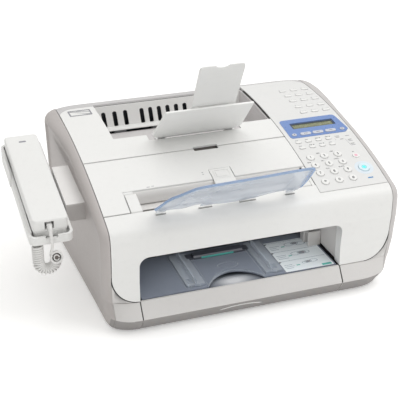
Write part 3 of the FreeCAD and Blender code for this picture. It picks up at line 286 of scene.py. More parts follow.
# works and cord
STEEL = metal("zinc_sheet", (0.62, 0.63, 0.64), rough=0.38)
BRIGHT = metal("bright_steel", (0.75, 0.76, 0.78), rough=0.2)
RUBBER = plastic("rubber_black", (0.03, 0.03, 0.032), rough=0.75, grain=1500.0, vary=0.1,
                 spec=0.3)
ROLLER = plastic("rubber_roller", (0.12, 0.12, 0.125), rough=0.7, grain=1200.0, vary=0.1,
                 spec=0.3)
HEAT_SLEEVE = plastic("heat_sleeve", (0.28, 0.09, 0.04), rough=0.3, vary=0.08)
BOARD = plastic("board_green", (0.03, 0.17, 0.07), rough=0.35, vary=0.15)
GEAR = plastic("gear_white", (0.78, 0.77, 0.72), rough=0.4)
CORD = plastic("cord_vinyl", (0.76, 0.755, 0.745), rough=0.36, vary=0.02)
# grey core inside the coil and dark hollow at its end: painted shade
CORD_CORE_SHADE = plastic("cord_core_painted_shade", (0.42, 0.41, 0.40), rough=0.5)
CORD_HOLLOW_SHADE = plastic("cord_hollow_painted_shade", (0.16, 0.14, 0.13), rough=0.5, vary=0.08)


# ------------------------------------------------------------------ outlines
def steps(a, b, n):
    return [a + (b - a) * i / n for i in range(n + 1)]


def rect(x0, y0, x1, y1):
    return [(x0, y0), (x1, y0), (x1, y1), (x0, y1)]


def arc_pts(cx, cy, r, a0, a1, n=8):
    """Arc from a0 to a1 degrees."""
    return [(cx + r * cos(radians(a)), cy + r * sin(radians(a))) for a in steps(a0, a1, n)]


def circle(r, n, cy=0.0):
    return arc_pts(0, cy, r, 0, 360, n)[:-1]


def ellipse(cx, cy, rx, ry, n):
    return [(cx + rx * cos(a), cy + ry * sin(a)) for a in steps(0, 2 * pi, n)[:-1]]


def rrect(x0, y0, x1, y1, r, n=8):
    """Rectangle with rounded corners, n steps to each."""
    r = min(r, (x1 - x0) / 2 - 1e-4, (y1 - y0) / 2 - 1e-4)
    return (arc_pts(x1 - r, y0 + r, r, -90, 0, n) + arc_pts(x1 - r, y1 - r, r, 0, 90, n)
            + arc_pts(x0 + r, y1 - r, r, 90, 180, n) + arc_pts(x0 + r, y0 + r, r, 180, 270, n))


def stroke(ax, ay, bx, by, half):
    """Straight bar from a to b."""
    d = Vector((by - ay, -(bx - ax))).normalized() * half
    return [(ax + d.x, ay + d.y), (bx + d.x, by + d.y), (bx - d.x, by - d.y),
            (ax - d.x, ay - d.y)]


def round_corner(before, corner, after, r, n, limit, flat=pi):
    """Curve over a corner, kept within this share of its sides; one point if it is flatter."""
    p0, p1, p2 = Vector(before), Vector(corner), Vector(after)
    d0, d2 = p0 - p1, p2 - p1
    l0, l2 = d0.length, d2.length
    d0.normalize()
    d2.normalize()
    angle = acos(max(-1, min(1, d0.dot(d2))))
    if r <= 0 or angle > flat:
        return [tuple(p1)]
    t = min(r / tan(angle / 2), l0 * limit, l2 * limit)
    a, b = p1 + d0 * t, p1 + d2 * t
    return [tuple(a * (1 - j / n) ** 2 + p1 * 2 * (j / n) * (1 - j / n) + b * (j / n) * (j / n))
            for j in range(n + 1)]


def round_poly(pts, radii, n=6):
    """Closed outline with each corner rounded to its radius."""
    count = len(pts)
    if not isinstance(radii, (list, tuple)):
        radii = [radii] * count
    out = []
    for i in range(count):
        out += round_corner(pts[i - 1], pts[i], pts[(i + 1) % count], radii[i], n, 0.49,
                            radians(176))
    return out


def spline(pts, step=2.0):
    """Catmull-Rom curve through the points."""
    out = []
    for i in range(len(pts) - 1):
        p0 = Vector(pts[max(0, i - 1)])
        p1, p2 = Vector(pts[i]), Vector(pts[i + 1])
        p3 = Vector(pts[min(len(pts) - 1, i + 2)])
        k = max(2, int((p2 - p1).length / step))
        for j in range(k):
            t = j / k
            out.append(tuple(0.5 * ((2 * p1) + (p2 - p0) * t
                                    + (2 * p0 - 5 * p1 + 4 * p2 - p3) * t * t
                                    + (3 * p1 - p0 - 3 * p2 + p3) * t ** 3)))
    out.append(tuple(pts[-1]))
    return out


def arc_line(y0, y1, depth=0.0, step=4.0):
    """Line along the roof arc in YZ."""
    k = max(1, int(abs(y1 - y0) / step))
    return [(y, top_z(y, depth)) for y in steps(y0, y1, k)]


def thicken(line, d):
    """Closed band from an open line and its copy moved d to the left."""
    out = []
    for i, p in enumerate(line):
        a = Vector(line[max(0, i - 1)])
        b = Vector(line[min(len(line) - 1, i + 1)])
        t = (b - a).normalized()
        out.append((p[0] - t.y * d, p[1] + t.x * d))
    return line + out[::-1]


def inset_poly(pts, d):
    """Closed polygon moved inward by d, edge by edge."""
    n = len(pts)
    out = []
    area2 = sum(pts[i][0] * pts[(i + 1) % n][1] - pts[(i + 1) % n][0] * pts[i][1]
                for i in range(n))
    s = 1.0 if area2 > 0 else -1.0
    for i in range(n):
        a, b, c = Vector(pts[i - 1]), Vector(pts[i]), Vector(pts[(i + 1) % n])
        u, v = (b - a).normalized(), (c - b).normalized()
        nu, nv = Vector((-u.y, u.x)) * s, Vector((-v.y, v.x)) * s
        miter = (nu + nv) / max(0.25, 1.0 + nu.dot(nv))
        out.append(tuple(b + miter * d))
    return out


# ------------------------------------------------------------------ meshes
def link(name, me):
    o = bpy.data.objects.new(name, me)
    bpy.context.scene.collection.objects.link(o)
    return o


def make(verts, faces, mat, name="part", scale=MM):
    me = bpy.data.meshes.new(name)
    me.from_pydata([tuple(c * scale for c in v) for v in verts], [], faces)
    me.update()
    o = link(name, me)
    bm = bmesh.new()
    bm.from_mesh(me)
    bmesh.ops.recalc_face_normals(bm, faces=bm.faces)
    bm.to_mesh(me)
    bm.free()
    if mat:
        me.materials.append(mat)
    return o


def prism(outline, plane, a, b, mat=None, name="part"):
    """Solid from an outline: "YZ" runs from X a to b, "XZ" from Y a to b, "XY" from Z a to b."""
    n = len(outline)
    put_point = {"YZ": lambda u, v, w: (w, u, v), "XZ": lambda u, v, w: (u, w, v),
                 "XY": lambda u, v, w: (u, v, w)}[plane]
    verts = [put_point(u, v, w) for w in (a, b) for u, v in outline]
    faces = [tuple(range(n))[::-1], tuple(range(n, 2 * n))]
    faces += [(i, (i + 1) % n, n + (i + 1) % n, n + i) for i in range(n)]
    return make(verts, faces, mat, name)


def loft(rings, mat, name="part", closed=False):
    """Skin over rings with equal numbers of points; capped unless the last meets the first."""
    n, count = len(rings[0]), len(rings)
    faces = []
    for i in range(count if closed else count - 1):
        k = (i + 1) % count
        for j in range(n):
            j2 = (j + 1) % n
            faces.append((i * n + j, i * n + j2, k * n + j2, k * n + j))
    if not closed:
        faces.append(tuple(range(n))[::-1])
        faces.append(tuple(range((count - 1) * n, count * n)))
    return make([p for r in rings for p in r], faces, mat, name)


def along_x(outline, xs, mat, warp=lambda p: p):
    """Solid of a YZ outline carried through several X stations."""
    return loft([[warp((x, y, z)) for y, z in outline] for x in xs], mat)


def bake(o):
    """Apply every modifier."""
    dg = bpy.context.evaluated_depsgraph_get()
    dg.update()
    me = bpy.data.meshes.new_from_object(o.evaluated_get(dg), preserve_all_data_layers=True,
                                         depsgraph=dg)
    old = o.data
    o.modifiers.clear()
    o.data = me
    if old.users == 0:
        bpy.data.meshes.remove(old)
    return o


def carve(o, *cutters):
    """Cut the cutters out of a piece and remove them."""
    for c in cutters:
        m = o.modifiers.new("cut", "BOOLEAN")
        m.operation = "DIFFERENCE"
        m.object = c
        m.solver = "EXACT"
    bake(o)
    for c in cutters:
        bpy.data.objects.remove(c)
    bm = bmesh.new()
    bm.from_mesh(o.data)
    bmesh.ops.remove_doubles(bm, verts=bm.verts, dist=0.00001)
    bmesh.ops.dissolve_degenerate(bm, edges=bm.edges, dist=0.00001)
    bm.to_mesh(o.data)
    bm.free()
    return o


def smooth(o, angle):
    """Smooth shading with edges sharper than the angle (degrees) kept crisp."""
    for p in o.data.polygons:
        p.use_smooth = True
    o.data.set_sharp_from_angle(angle=radians(angle))
    return o


def add_bevel(o, width, segs, angle):
    """Bevel modifier; width in metres."""
    m = o.modifiers.new("bevel", "BEVEL")
    m.width = width
    m.segments = segs
    m.limit_method = "ANGLE"
    m.angle_limit = radians(angle)
    m.use_clamp_overlap = True
    return m


def soften(o, width=0.5, segs=2, angle=32.0):
    """Rounded edges with clean shading."""
    m = add_bevel(o, width * MM, segs, angle)
    m.harden_normals = False
    m.miter_outer = "MITER_ARC"
    bake(o)
    smooth(o, 38.0)
    w = o.modifiers.new("normals", "WEIGHTED_NORMAL")
    w.keep_sharp = True
    w.weight = 60
    return o


def tube(pts, r, mat, seg=14, closed=False, name="part"):
    """Round tube along points; r may be a list."""
    n = len(pts)
    path = [Vector(p) for p in pts]
    rings = []
    prev = None
    for i in range(n):
        if closed or 0 < i < n - 1:
            t = path[(i + 1) % n] - path[i - 1]
        else:
            t = path[1] - path[0] if i == 0 else path[-1] - path[-2]
        t.normalize()
        if prev is None:
            a = t.cross(Vector((0, 0, 1)) if abs(t.z) < 0.9 else Vector((1, 0, 0))).normalized()
        else:
            a = (prev - t * prev.dot(t)).normalized()
        prev = a
        b = t.cross(a)
        radius = r[i] if isinstance(r, (list, tuple)) else r
        turns = [2 * pi * j / seg for j in range(seg)]
        rings.append([tuple(path[i] + (a * cos(w) + b * sin(w)) * radius) for w in turns])
    return smooth(loft(rings, mat, name, closed), 50)


def lathe(profile, mat=None, seg=40, name="part"):
    """Turned solid about Z from (radius, height) pairs."""
    turns = [2 * pi * j / seg for j in range(seg)]
    return smooth(loft([[(r * cos(w), r * sin(w), z) for w in turns] for r, z in profile],
                       mat, name), 35)


def place(o, loc=(0, 0, 0), rx=0.0, ry=0.0):
    """Turn (radians) and move a piece, baked into its mesh."""
    o.data.transform(Matrix.Translation(Vector(loc) * MM) @ Matrix.Rotation(ry, 4, "Y")
                     @ Matrix.Rotation(rx, 4, "X"))
    o.data.update()
    return o


def rod(half, length, at, mat=None, seg=28):
    """Turned solid along X from a point; half is (radius, distance in) pairs for each end."""
    profile = half + [(r, length - inset) for r, inset in half[::-1]]
    return place(lathe(profile, mat, seg), at, ry=HALF_PI)


def join(name, objs):
    """One piece from several meshes."""
    bm = bmesh.new()
    mats = []
    for o in objs:
        slots = {}
        for i, mat in enumerate(o.data.materials):
            if mat not in mats:
                mats.append(mat)
            slots[i] = mats.index(mat)
        me = bake(o).data
        base = len(bm.faces)
        bm.from_mesh(me)
        bm.faces.ensure_lookup_table()
        for f in bm.faces[base:]:
            f.material_index = slots.get(f.material_index, 0)
    me = bpy.data.meshes.new(name)
    bm.to_mesh(me)
    bm.free()
    for mat in mats:
        me.materials.append(mat)
    out = link(name, me)
    for o in objs:
        bpy.data.objects.remove(o)
    return out


def on_top(o, x, y):
    """Lay a piece drawn flat about the origin on the roof arc."""
    return place(o, (x, y, top_z(y)), rx=asin((ARC_Y - y) / ARC_R))


def flat_piece(outline, x, y, h0, h1, mat, name="part"):
    """Plate with this outline (about its own middle) laid on the roof arc."""
    return on_top(prism(outline, "XY", h0, h1, mat, name), x, y)


def lettering(text, size, thick):
    """Ink letters drawn flat about the origin."""
    c = bpy.data.curves.new("text", "FONT")
    c.body = text
    c.size = size * MM
    c.align_x = "CENTER"
    c.align_y = "CENTER"
    c.extrude = thick * MM
    c.resolution_u = 3
    o = link("text", c)
    dg = bpy.context.evaluated_depsgraph_get()
    me = bpy.data.meshes.new_from_object(o.evaluated_get(dg))
    bpy.data.objects.remove(o)
    me.materials.clear()
    return link("part", me)


def slice_mesh(bm, axis, at):
    """Cut across a mesh at a place on axis 0 (X) or 1 (Y)."""
    normal, point = [0, 0, 0], [0, 0, 0]
    normal[axis], point[axis] = 1, at
    bmesh.ops.bisect_plane(bm, geom=bm.verts[:] + bm.edges[:] + bm.faces[:],
                           plane_co=point, plane_no=normal)


def sheet(outline, cuts, put_point, mat, name):
    """Solid sheet over an XY outline, cut at (axis, place) pairs so that it can bend.

    put_point(x, y, upper) gives each vertex's place."""
    bm = bmesh.new()
    bm.faces.new([bm.verts.new((p[0], p[1], 0.0)) for p in outline])
    for axis, at in cuts:
        slice_mesh(bm, axis, at)
    r = bmesh.ops.extrude_face_region(bm, geom=bm.faces[:])
    for v in [g for g in r["geom"] if isinstance(g, bmesh.types.BMVert)]:
        v.co.z = 1.0
    for v in bm.verts:
        v.co = Vector(put_point(v.co.x, v.co.y, v.co.z >= 0.5)) * MM
    bmesh.ops.recalc_face_normals(bm, faces=bm.faces)
    me = bpy.data.meshes.new(name)
    bm.to_mesh(me)
    bm.free()
    if mat:
        me.materials.append(mat)
    return link(name, me)


def arc_plate(outline, depth0, depth1, mat=None, name="part"):
    """Plate over an XY outline that follows the roof arc between two depths."""
    step = 4.0
    y0, y1 = min(p[1] for p in outline), max(p[1] for p in outline)
    k = int(y0 / step) - 1
    cuts = []
    while k * step < y1:
        cuts.append((1, k * step))
        k += 1
    return sheet(outline, cuts,
                 lambda x, y, upper: (x, y, top_z(y, depth0 if upper else depth1)), mat, name)


def arc_strip(y0, y1, x0, x1, depth0, depth1, mat, step=4.0, name="part"):
    """Strip along the roof arc between two depths."""
    outline = arc_line(y0, y1, depth0, step) + arc_line(y0, y1, depth1, step)[::-1]
    return prism(outline, "YZ", x0, x1, mat, name)


def mount(o, slot, *cad_nodes, body="housing"):
    """Fix a piece to its body and hide the CAD pieces it replaces; the slot is not used."""
    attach(o, body)
    if cad_nodes:
        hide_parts(*cad_nodes)


# ------------------------------------------------------------------ body shape
def clamp(t):
    return max(0.0, min(1.0, t))


def smoothstep(t):
    t = clamp(t)
    return t * t * (3 - 2 * t)


def round_nose(p):
    """Rounds the lower front corners in plan."""
    x, y, z = p
    start = 140.0 if x > 0 else 150.2
    w = clamp((abs(x) - start) / (194.4 - start))
    g = smoothstep((56.0 - z) / 51.0 if x > 0 else (72.0 - z) / 50.0)
    f = smoothstep((-80.0 - y) / 60.0)
    return (x - copysign((11.0 if x > 0 else 5.5) * w * w * g * f, x),
            y + 34.0 * (1.0 - sqrt(max(0.0, 1.0 - w * w * 0.98))) * g * f, z)


def round_rear(p):
    """Rounds the rear upright corners in plan, and swells the side faces toward the rear."""
    x, y, z = p
    w = clamp((abs(x) - 150.0) / 44.4)
    f = smoothstep((y - 84.0) / 74.8)
    outer = max(0.0, (abs(x) - 186.0) / 8.4)
    g = smoothstep((y - 10.0) / 110.0)
    h = clamp(z / 60.0)
    return (x + copysign(7.5 * min(1.0, outer) * g * (0.45 + 0.55 * h), x),
            y - 24.0 * (1.0 - sqrt(max(0.0, 1.0 - 0.97 * w * w))) * f, z)


def bend_rear(o, sides, width, segs=3):
    """Cut a cover across near its rear corners, soften it and round those corners."""
    bm = bmesh.new()
    bm.from_mesh(o.data)
    for s in sides:
        for x in (range(-180, -149, 5) if s < 0 else range(150, 181, 5)):
            slice_mesh(bm, 0, x * MM)
    bm.to_mesh(o.data)
    bm.free()
    soften(o, width, segs, 30)
    for v in o.data.vertices:
        v.co = Vector(round_rear(tuple(c / MM for c in v.co))) * MM
    o.data.update()
    return o


def paint_shade_under(o):
    """Paint shade on the faces under the front ridge: a darker grey stands in for their shadow.
    """
    o.data.materials.append(UNDER_PAINTED_SHADE)
    k = len(o.data.materials) - 1
    for f in o.data.polygons:
        c = f.center / MM
        if f.normal.z < -0.22 and c.y < -112.0 and c.z < 23.5:
            f.material_index = k
    return o


# Side silhouette: Y, Z, corner radius. Clockwise seen from the right, roof points unrounded.
SILHOUETTE = [(153.0, 2.0, 3.0), (-146.0, 2.0, 5.0), (-158.8, 22.1, 4.5), (-146.2, 41.1, 3.0),
              (-145.2, 67.0, 12.0), (-146.3, 81.0, 12.0), (-148.9, 102.6, 20.0),
              (-148.6, 137.6, 20.0)]
SILHOUETTE += [(y, top_z(y), 0.0) for y in steps(-116.0, 140.0, 22)]
SILHOUETTE += [(158.8, top_z(158.8), 15.0), (158.8, 8.0, 3.0)]
HOLLOW_CORNER = 3    # the one inward corner; its radius grows with the inset


def silhouette(d):
    """Silhouette inset by d, with the same number of points for every d."""
    pts = inset_poly([p[:2] for p in SILHOUETTE], d)
    out = []
    for i, (y, z, r) in enumerate(SILHOUETTE):
        if r:
            r = max(0.6, r + (d if i == HOLLOW_CORNER else -d))
        out += round_corner(pts[i - 1], pts[i], pts[(i + 1) % len(pts)], r, 7, 0.48)
    return out


# ================================================================ side covers
# Stations: distance from the middle, inset of the silhouette. The edge is a quarter round.
SIDE_STATIONS = [(184.3, 3.4), (184.1, 0.5), (184.3, 0.0)]
SIDE_STATIONS += [(184.35 + 9.95 * sin(t), 9.0 * (1 - cos(t)))
                  for t in (k / 9.0 * HALF_PI for k in range(1, 10))]
SIDE_STATIONS += [(193.9, 12.0), (193.0, 15.5), (192.7, 19.0)]
# the right cover takes the lighter copy: painted light on that side
for side, s, mat in (("left", -1.0, SIDE), ("right", 1.0, SIDE_LIT)):
    rings = [[round_rear(round_nose((s * x, y, z))) for y, z in silhouette(d)]
             for x, d in SIDE_STATIONS]
    o = loft(rings, mat, "side_cover_" + side)
    # faces under the front ridge get painted shade
    mount(paint_shade_under(smooth(o, 50)), "grey_shell", side + "_side_cover")

# ================================================================ base frame
# Curved lower corners of the front cover spring from here.
CORNER_X, CORNER_Z = 149.5, 79.4


def corner_curve(s, rx, rz, a0, a1, n, limit=200.0):
    """Quarter oval of a lower front corner in XZ, kept within a distance of the middle."""
    return [(s * min(limit, CORNER_X + rx * sin(a)), CORNER_Z - rz * cos(a))
            for a in steps(a0, a1, n)]


nose = round_poly([(-146.0, 2.0), (-158.8, 22.1), (-146.2, 40.4), (-139.5, 40.4),
                   (-134.0, 34.0), (-134.0, 2.0)], [4.0, 4.5, 0.6, 0.6, 2.0, 1.0], 8)
parts = [soften(along_x(nose, steps(x0, x1, n), TRAY_GREY, round_nose), 0.5, 2, 40)
         for x0, x1, n in ((-183.9, -150.3, 14), (116.75, 183.9, 22))]
# gussets that fill the corners below the front cover
for s in (-1, 1):
    outline = ([(s * 184.2, 39.6), (s * 150.1, 39.6)]
               + corner_curve(s, 35.6, 39.7, 0.02, 1.4, 18))
    rings = [[round_nose((x, y + 0.018 * max(0.0, z - 41.0), z)) for x, z in outline]
             for y in (-138.0, -145.5, -146.0)]
    parts.append(smooth(loft(rings, TRAY_GREY), 30))
# floor plate: X, Y
FLOOR = [(-150, -133), (140, -133), (160, -118), (171, -96), (180, -60), (183, 60), (179, 120),
         (165, 140), (150, 152), (-150, 152), (-165, 140), (-179, 120), (-183, 60),
         (-181, -60), (-174, -96), (-164, -118)]
parts.append(soften(prism(FLOOR, "XY", 2.2, 5.0, TRAY_GREY), 0.4))
# walls of the paper tray bay, near black: painted shade round the tray
for a, b in ((-152.4, -149.9), (116.2, 118.7)):
    parts.append(soften(prism(rrect(-139, 4.5, 150, 37.8, 3), "YZ", a, b, DARKER), 0.3))
parts.append(soften(prism(rect(-152.3, 4.6, 118.7, 34.0), "XZ", 147.5, 150.0, DARKER), 0.3))
# dark liners in the seams beside the paper tray: painted shade in the gaps
seam = inset_poly([(-146.0, 2.6), (-158.6, 22.1), (-146.2, 40.6), (-139.5, 40.6),
                   (-134.0, 34.0), (-134.0, 2.6)], 0.7)
for a, b in ((-150.2, -149.15), (115.4, 116.65)):
    parts.append(prism(seam, "YZ", a, b, BLACK))
o = join("base_frame_shell", parts)
# painted shade on the faces under the front ridge
paint_shade_under(o)
mount(smooth(o, 38), "grey_shell", "base_frame")

# ================================================================ front cover
OPEN_X0, OPEN_X1, OPEN_TOP, OPEN_R = -149.5, 115.8, 101.6, 12.0    # paper opening
TRAY_SLOTS = [(-123.1, -109.9), (-69.7, -51.6), (-17.2, 4.9), (43.1, 56.5)]    # X from, to

# outer front profile from the lower edge up to the roof
front = sorted((p for p in silhouette(0.0) if p[0] < -134.0 and p[1] > 41.5),
               key=lambda p: p[1])
outer = [(-146.15, 41.4)] + front + arc_line(-134.0, -120.5, 0.0, 3.0)
cover = prism(thicken(outer, -SKIN), "YZ", -SKIN_X, SKIN_X, WHITE, "front_cover_shell")
opening = ([(OPEN_X0, 20.0), (OPEN_X1, 20.0)]
           + arc_pts(OPEN_X1 - OPEN_R, OPEN_TOP - OPEN_R, OPEN_R, 0, 90, 10)
           + arc_pts(OPEN_X0 + OPEN_R, OPEN_TOP - OPEN_R, OPEN_R, 90, 180, 10))
cuts = [prism(opening, "XZ", -170.0, -100.0),
        prism(rect(88.4, -134.1, 190.0, -100.0), "XY", 128.0, 180.0)]
cuts += [prism(rrect(a, -129.3, b, -126.9, 1.0, 5), "XY", 130.0, 160.0) for a, b in TRAY_SLOTS]
for s in (-1, 1):
    outline = ([(s * 186.5, 38.0), (s * CORNER_X, 38.0)]
               + corner_curve(s, 34.0, 38.0, 0.0, HALF_PI, 26) + [(s * 186.5, CORNER_Z)])
    cuts.append(prism(outline, "XZ", -170.0, -120.0))
carve(cover, *cuts)
soften(cover, 0.6, 3, 30)
# return wall around the opening
line = ([(OPEN_X0 + 0.05, 41.6), (OPEN_X0 + 0.05, OPEN_TOP - OPEN_R)]
        + arc_pts(OPEN_X0 + OPEN_R, OPEN_TOP - OPEN_R, OPEN_R - 0.05, 180, 90, 10)
        + arc_pts(OPEN_X1 - OPEN_R, OPEN_TOP - OPEN_R, OPEN_R - 0.05, 90, 0, 10)
        + [(OPEN_X1 - 0.05, 41.6)])
wall = soften(prism(thicken(line, 2.2), "XZ", -144.2, -131.5, WHITE), 0.4, 2, 30)
cover = join("front_cover_shell", [cover, wall])
mount(smooth(cover, 34), "white_shell", "front_cover")
# dark liners and beads behind the lower corner seams: painted shade in the seams
for s in (-1, 1):
    inner = corner_curve(s, 33.0, 37.0, 0.05, HALF_PI, 26)
    edge = corner_curve(s, 35.3, 39.4, 0.05, HALF_PI, 26, 183.6)
    back = loft([[(x, y, z) for x, z in inner + edge[::-1]] for y in (-144.2, -144.9)], BLACK)
    bead = tube([(x, -145.25, z)
                 for x, z in corner_curve(s, 34.75, 38.8, 0.04, HALF_PI, 40, 183.8)],
                0.72, BLACK, 10)
    mount(soften(join("corner_seam_shade", [back, bead]), 0.15), "black_plastic")
# dark strip in the gap between the front cover and the feeder cover: painted shade
o = arc_strip(-120.45, -118.8, -183.0, -150.4, 1.0, 2.3, BLACK, 2.5, "crease_gap_shade")
mount(soften(o, 0.15), "black_plastic")
# dark pieces under the document tray slots: painted shade in the slots
for i, (a, b) in enumerate(TRAY_SLOTS):
    o = prism(rrect(a - 0.8, -130.2, b + 0.8, -126.0, 1.4, 5), "XY", top_z(-128.0) - 9.0,
              top_z(-130.2) - 0.5, BLACK, "slot_liner_%d" % i)
    mount(soften(o, 0.3), "black_plastic")

# ================================================================ top cover
PAGE_X = -24.0      # middle of the paper path


def roof_outline(y0, y1, rear=False):
    """YZ section of a cover on the roof arc; a rear one turns down at its back edge."""
    upper = arc_line(y0, y1)
    lower = arc_line(y0, y1, SKIN)
    if rear:
        upper += arc_pts(146.5, top_z(150.0) - 11.6, 12.0, 62, 4, 9)
        lower += [(150.0, top_z(150.0, SKIN)), (153.8, 182.6), (156.0, 178.2)]
    return upper + lower[::-1]


def rear_corner(s, x, y, r):
    """Plan curve of a rear corner, from the side face round to the back."""
    return [(x - s * r + s * r * cos(a), y + r * sin(a)) for a in steps(0, HALF_PI, 16)]


def roof_cut(outline):
    return prism(outline, "XY", 150.0, 210.0)


def panel_cut(outline):
    return prism(outline, "XY", 120, 220)


top = prism(roof_outline(-20.0, 134.4), "YZ", -SKIN_X, SPLIT_X, WHITE, "top_cover_shell")
carve(top,
      roof_cut(rrect(-132.3, 26.0, 100.0, 138.2, 1.6)),                    # print recess
      roof_cut(rrect(PAGE_X - 64.0, 11.8, PAGE_X + 64.0, 40.0, 1.5)),      # flap hinge
      roof_cut(rrect(-39.0, -40.0, -6.0, -16.6, 1.2)),                     # finger notch
      roof_cut([(-190.0, 140.0), (-190.0, 113.0)] + rear_corner(-1, -183.5, 114.5, 20.0)
               + [(-163.5, 140.0)]))
mount(bend_rear(top, [-1], 0.7), "white_shell", "top_cover")
# grey band behind the recess, running round the left rear corner
band = prism(roof_outline(100.0, 146.0, True), "YZ", -SKIN_X, SPLIT_X, RIM, "top_rear_band")
carve(band, roof_cut([(-183.2, 97.0), (-183.2, 114.7)] + rear_corner(-1, -183.2, 115.0, 19.7)
                     + [(-132.2, 134.7), (-132.2, 138.2), (100.0, 138.2), (100.0, 97.0)]))
mount(bend_rear(band, [-1], 0.6), "grey_shell")
# hinge ears beside the flap, and lugs at the feeder cover's rear edge: Y, Z
EAR = [(6.5, top_z(6.5, 1.4)), (6.5, 172.5), (14.0, 173.5), (20.6, 175.6), (21.2, 178.4),
       (20.4, 180.4), (12.5, 179.9)]
LUG = [(-12.5, top_z(-12.5, 1.6)), (-12.5, 161.5), (-30.0, 161.5), (-30.0, 167.6),
       (-28.4, 169.3), (-25.6, 169.3), (-23.9, 167.6), (-23.6, 165.2), (-16.3, 165.2),
       (-16.3, top_z(-16.3, 1.6))]
for i, (outline, x) in enumerate(((EAR, PAGE_X - 54.5), (EAR, PAGE_X + 51.5), (LUG, -150.0),
                                  (LUG, 62.0))):
    o = prism(round_poly(outline, 0.8, 4), "YZ", x, x + 3.0, WHITE, "hinge_ear_%d" % i)
    mount(soften(o, 0.3), "white_shell")
# framed mark at the left of the recess
mark = carve(prism(rrect(-15.5, -9.5, 15.5, 9.5, 1.2, 4), "XY", -0.6, 0.35, INK_LIGHT),
             prism(rrect(-13.6, -7.6, 13.6, 7.6, 0.8, 4), "XY", -2.0, 2.0))
bars = [prism(stroke(*ends, 0.45), "XY", -0.6, 0.3, INK_LIGHT)
        for ends in ((-13.4, 7.0, 13.2, -6.8), (-4.0, 7.2, 13.2, 2.0))]
mount(on_top(join("embossed_mark", [mark] + bars), -155.5, 115.5), "black_plastic")

# ================================================================ rear cover
rear = prism(rrect(-183.2, 6.0, 183.2, 177.6, 5.0), "XZ", 155.9, 158.6, SIDE,
             "rear_cover_panel")
# two socket openings, a row of through vents, a row of shallow grooves
cuts = [prism(rrect(130.0, 22.0, 158.0, 42.0, 1.5), "XZ", 140, 170),
        prism(rrect(-166.0, 24.0, -132.0, 36.0, 1.0), "XZ", 140, 170)]
for count, x, z0, z1, y in ((9, 50.0, 60.0, 96.0, 140), (12, -120.0, 120.0, 150.0, 157.4)):
    cuts += [prism(rrect(x + 7.0 * i, z0, x + 3.0 + 7.0 * i, z1, 1.45, 6), "XZ", y, 170)
             for i in range(count)]
carve(rear, *cuts)
mount(bend_rear(rear, [-1, 1], 0.5, 2), "grey_shell", "rear_cover")
o = prism(rrect(46.0, 56.0, 113.0, 100.0, 2.0), "XZ", 153.0, 154.6, DARKER, "rear_filter")
mount(soften(o, 0.3), "black_plastic")
screws = []
for x, z in ((-150.0, 160.0), (0.0, 160.0), (150.0, 160.0), (-150.0, 52.0), (0.0, 16.0),
             (170.0, 52.0)):
    screw = lathe([(0.5, -11.0), (1.6, -9.5), (1.6, -0.2), (3.2, -0.1), (3.2, 0.7),
                   (2.7, 1.35), (1.6, 1.6), (0.6, 1.6)], BRIGHT, 28)
    carve(screw, prism(rect(-1.7, -0.3, 1.7, 0.3), "XY", 0.7, 3.0),
          prism(rect(-0.3, -1.7, 0.3, 1.7), "XY", 0.7, 3.0))
    screws.append(place(screw, (x, round_rear((x, 158.65, z))[1], z), rx=-HALF_PI))
mount(smooth(join("cover_screw_set", screws), 30), "steel", "cover_screws")
feet = [place(lathe([(7.4, 0.0), (8.4, 0.15), (9.0, 0.8), (9.0, 2.0), (3.0, 2.0)], RUBBER),
              (x, y, 0))
        for x, y in ((-160, -120), (160, -120), (-160, 130), (160, 130), (0, 0))]
mount(join("rubber_foot_set", feet), "rubber", "rubber_feet")

# ================================================================ print recess
WELL_X0, WELL_X1 = -134.9, 88.4
cheek = round_poly([(27.0, top_z(27.0, 3.0)), (80.0, top_z(80.0, 3.0)),
                    (138.0, top_z(138.0, 3.0)), (138.0, 144.2), (120.0, 144.2),
                    (27.0, 162.5)], [2, 0, 2, 1, 2, 2], 5)
parts = [soften(prism(cheek, "YZ", x, x + 2.5, CHUTE), 0.4) for x in (WELL_X0, WELL_X1 - 2.5)]
line = spline([(26.6, 168.5), (31.0, 165.6), (60.0, 159.8), (90.0, 154.2), (116.0, 149.6),
               (127.4, 147.6)], 4.0)
chute = prism(thicken(line, -2.2), "YZ", WELL_X0 + 2.4, WELL_X1 - 2.4, CHUTE)
parts.append(soften(chute, 0.4))
mount(smooth(join("output_chute_shell", parts), 35), "grey_shell", "output_chute")


def leaning_slot(x):
    """Upright vent slot about X that leans left as it rises."""
    return [(u + (v - 165.0) * -0.13, v)
            for u, v in rrect(x - 3.1, 153.2, x + 3.1, 177.0, 3.0, 8)]


VENT_X = [-117.0, -101.0, -85.5, -61.5, -48.7, -35.9, -23.1, -10.3, 2.5, 26.5, 42.0, 58.0, 74.0]
wall = prism(rrect(WELL_X0 + 0.3, 149.6, WELL_X1 - 0.3, 185.6, 1.2), "XZ", 136.2, 138.6, WHITE,
             "vent_wall")
carve(wall, *[prism(leaning_slot(x), "XZ", 120.0, 150.0) for x in VENT_X])
mount(soften(wall, 0.5, 2, 30), "white_shell")
# dark plate behind the vent slots: painted shade of the space behind them
o = prism(rrect(WELL_X0 + 1.0, 140.0, WELL_X1 - 1.0, 184.0, 2.0), "XZ", 150.5, 152.0, DARKER,
          "vent_dark")
mount(soften(o, 0.4), "black_plastic")
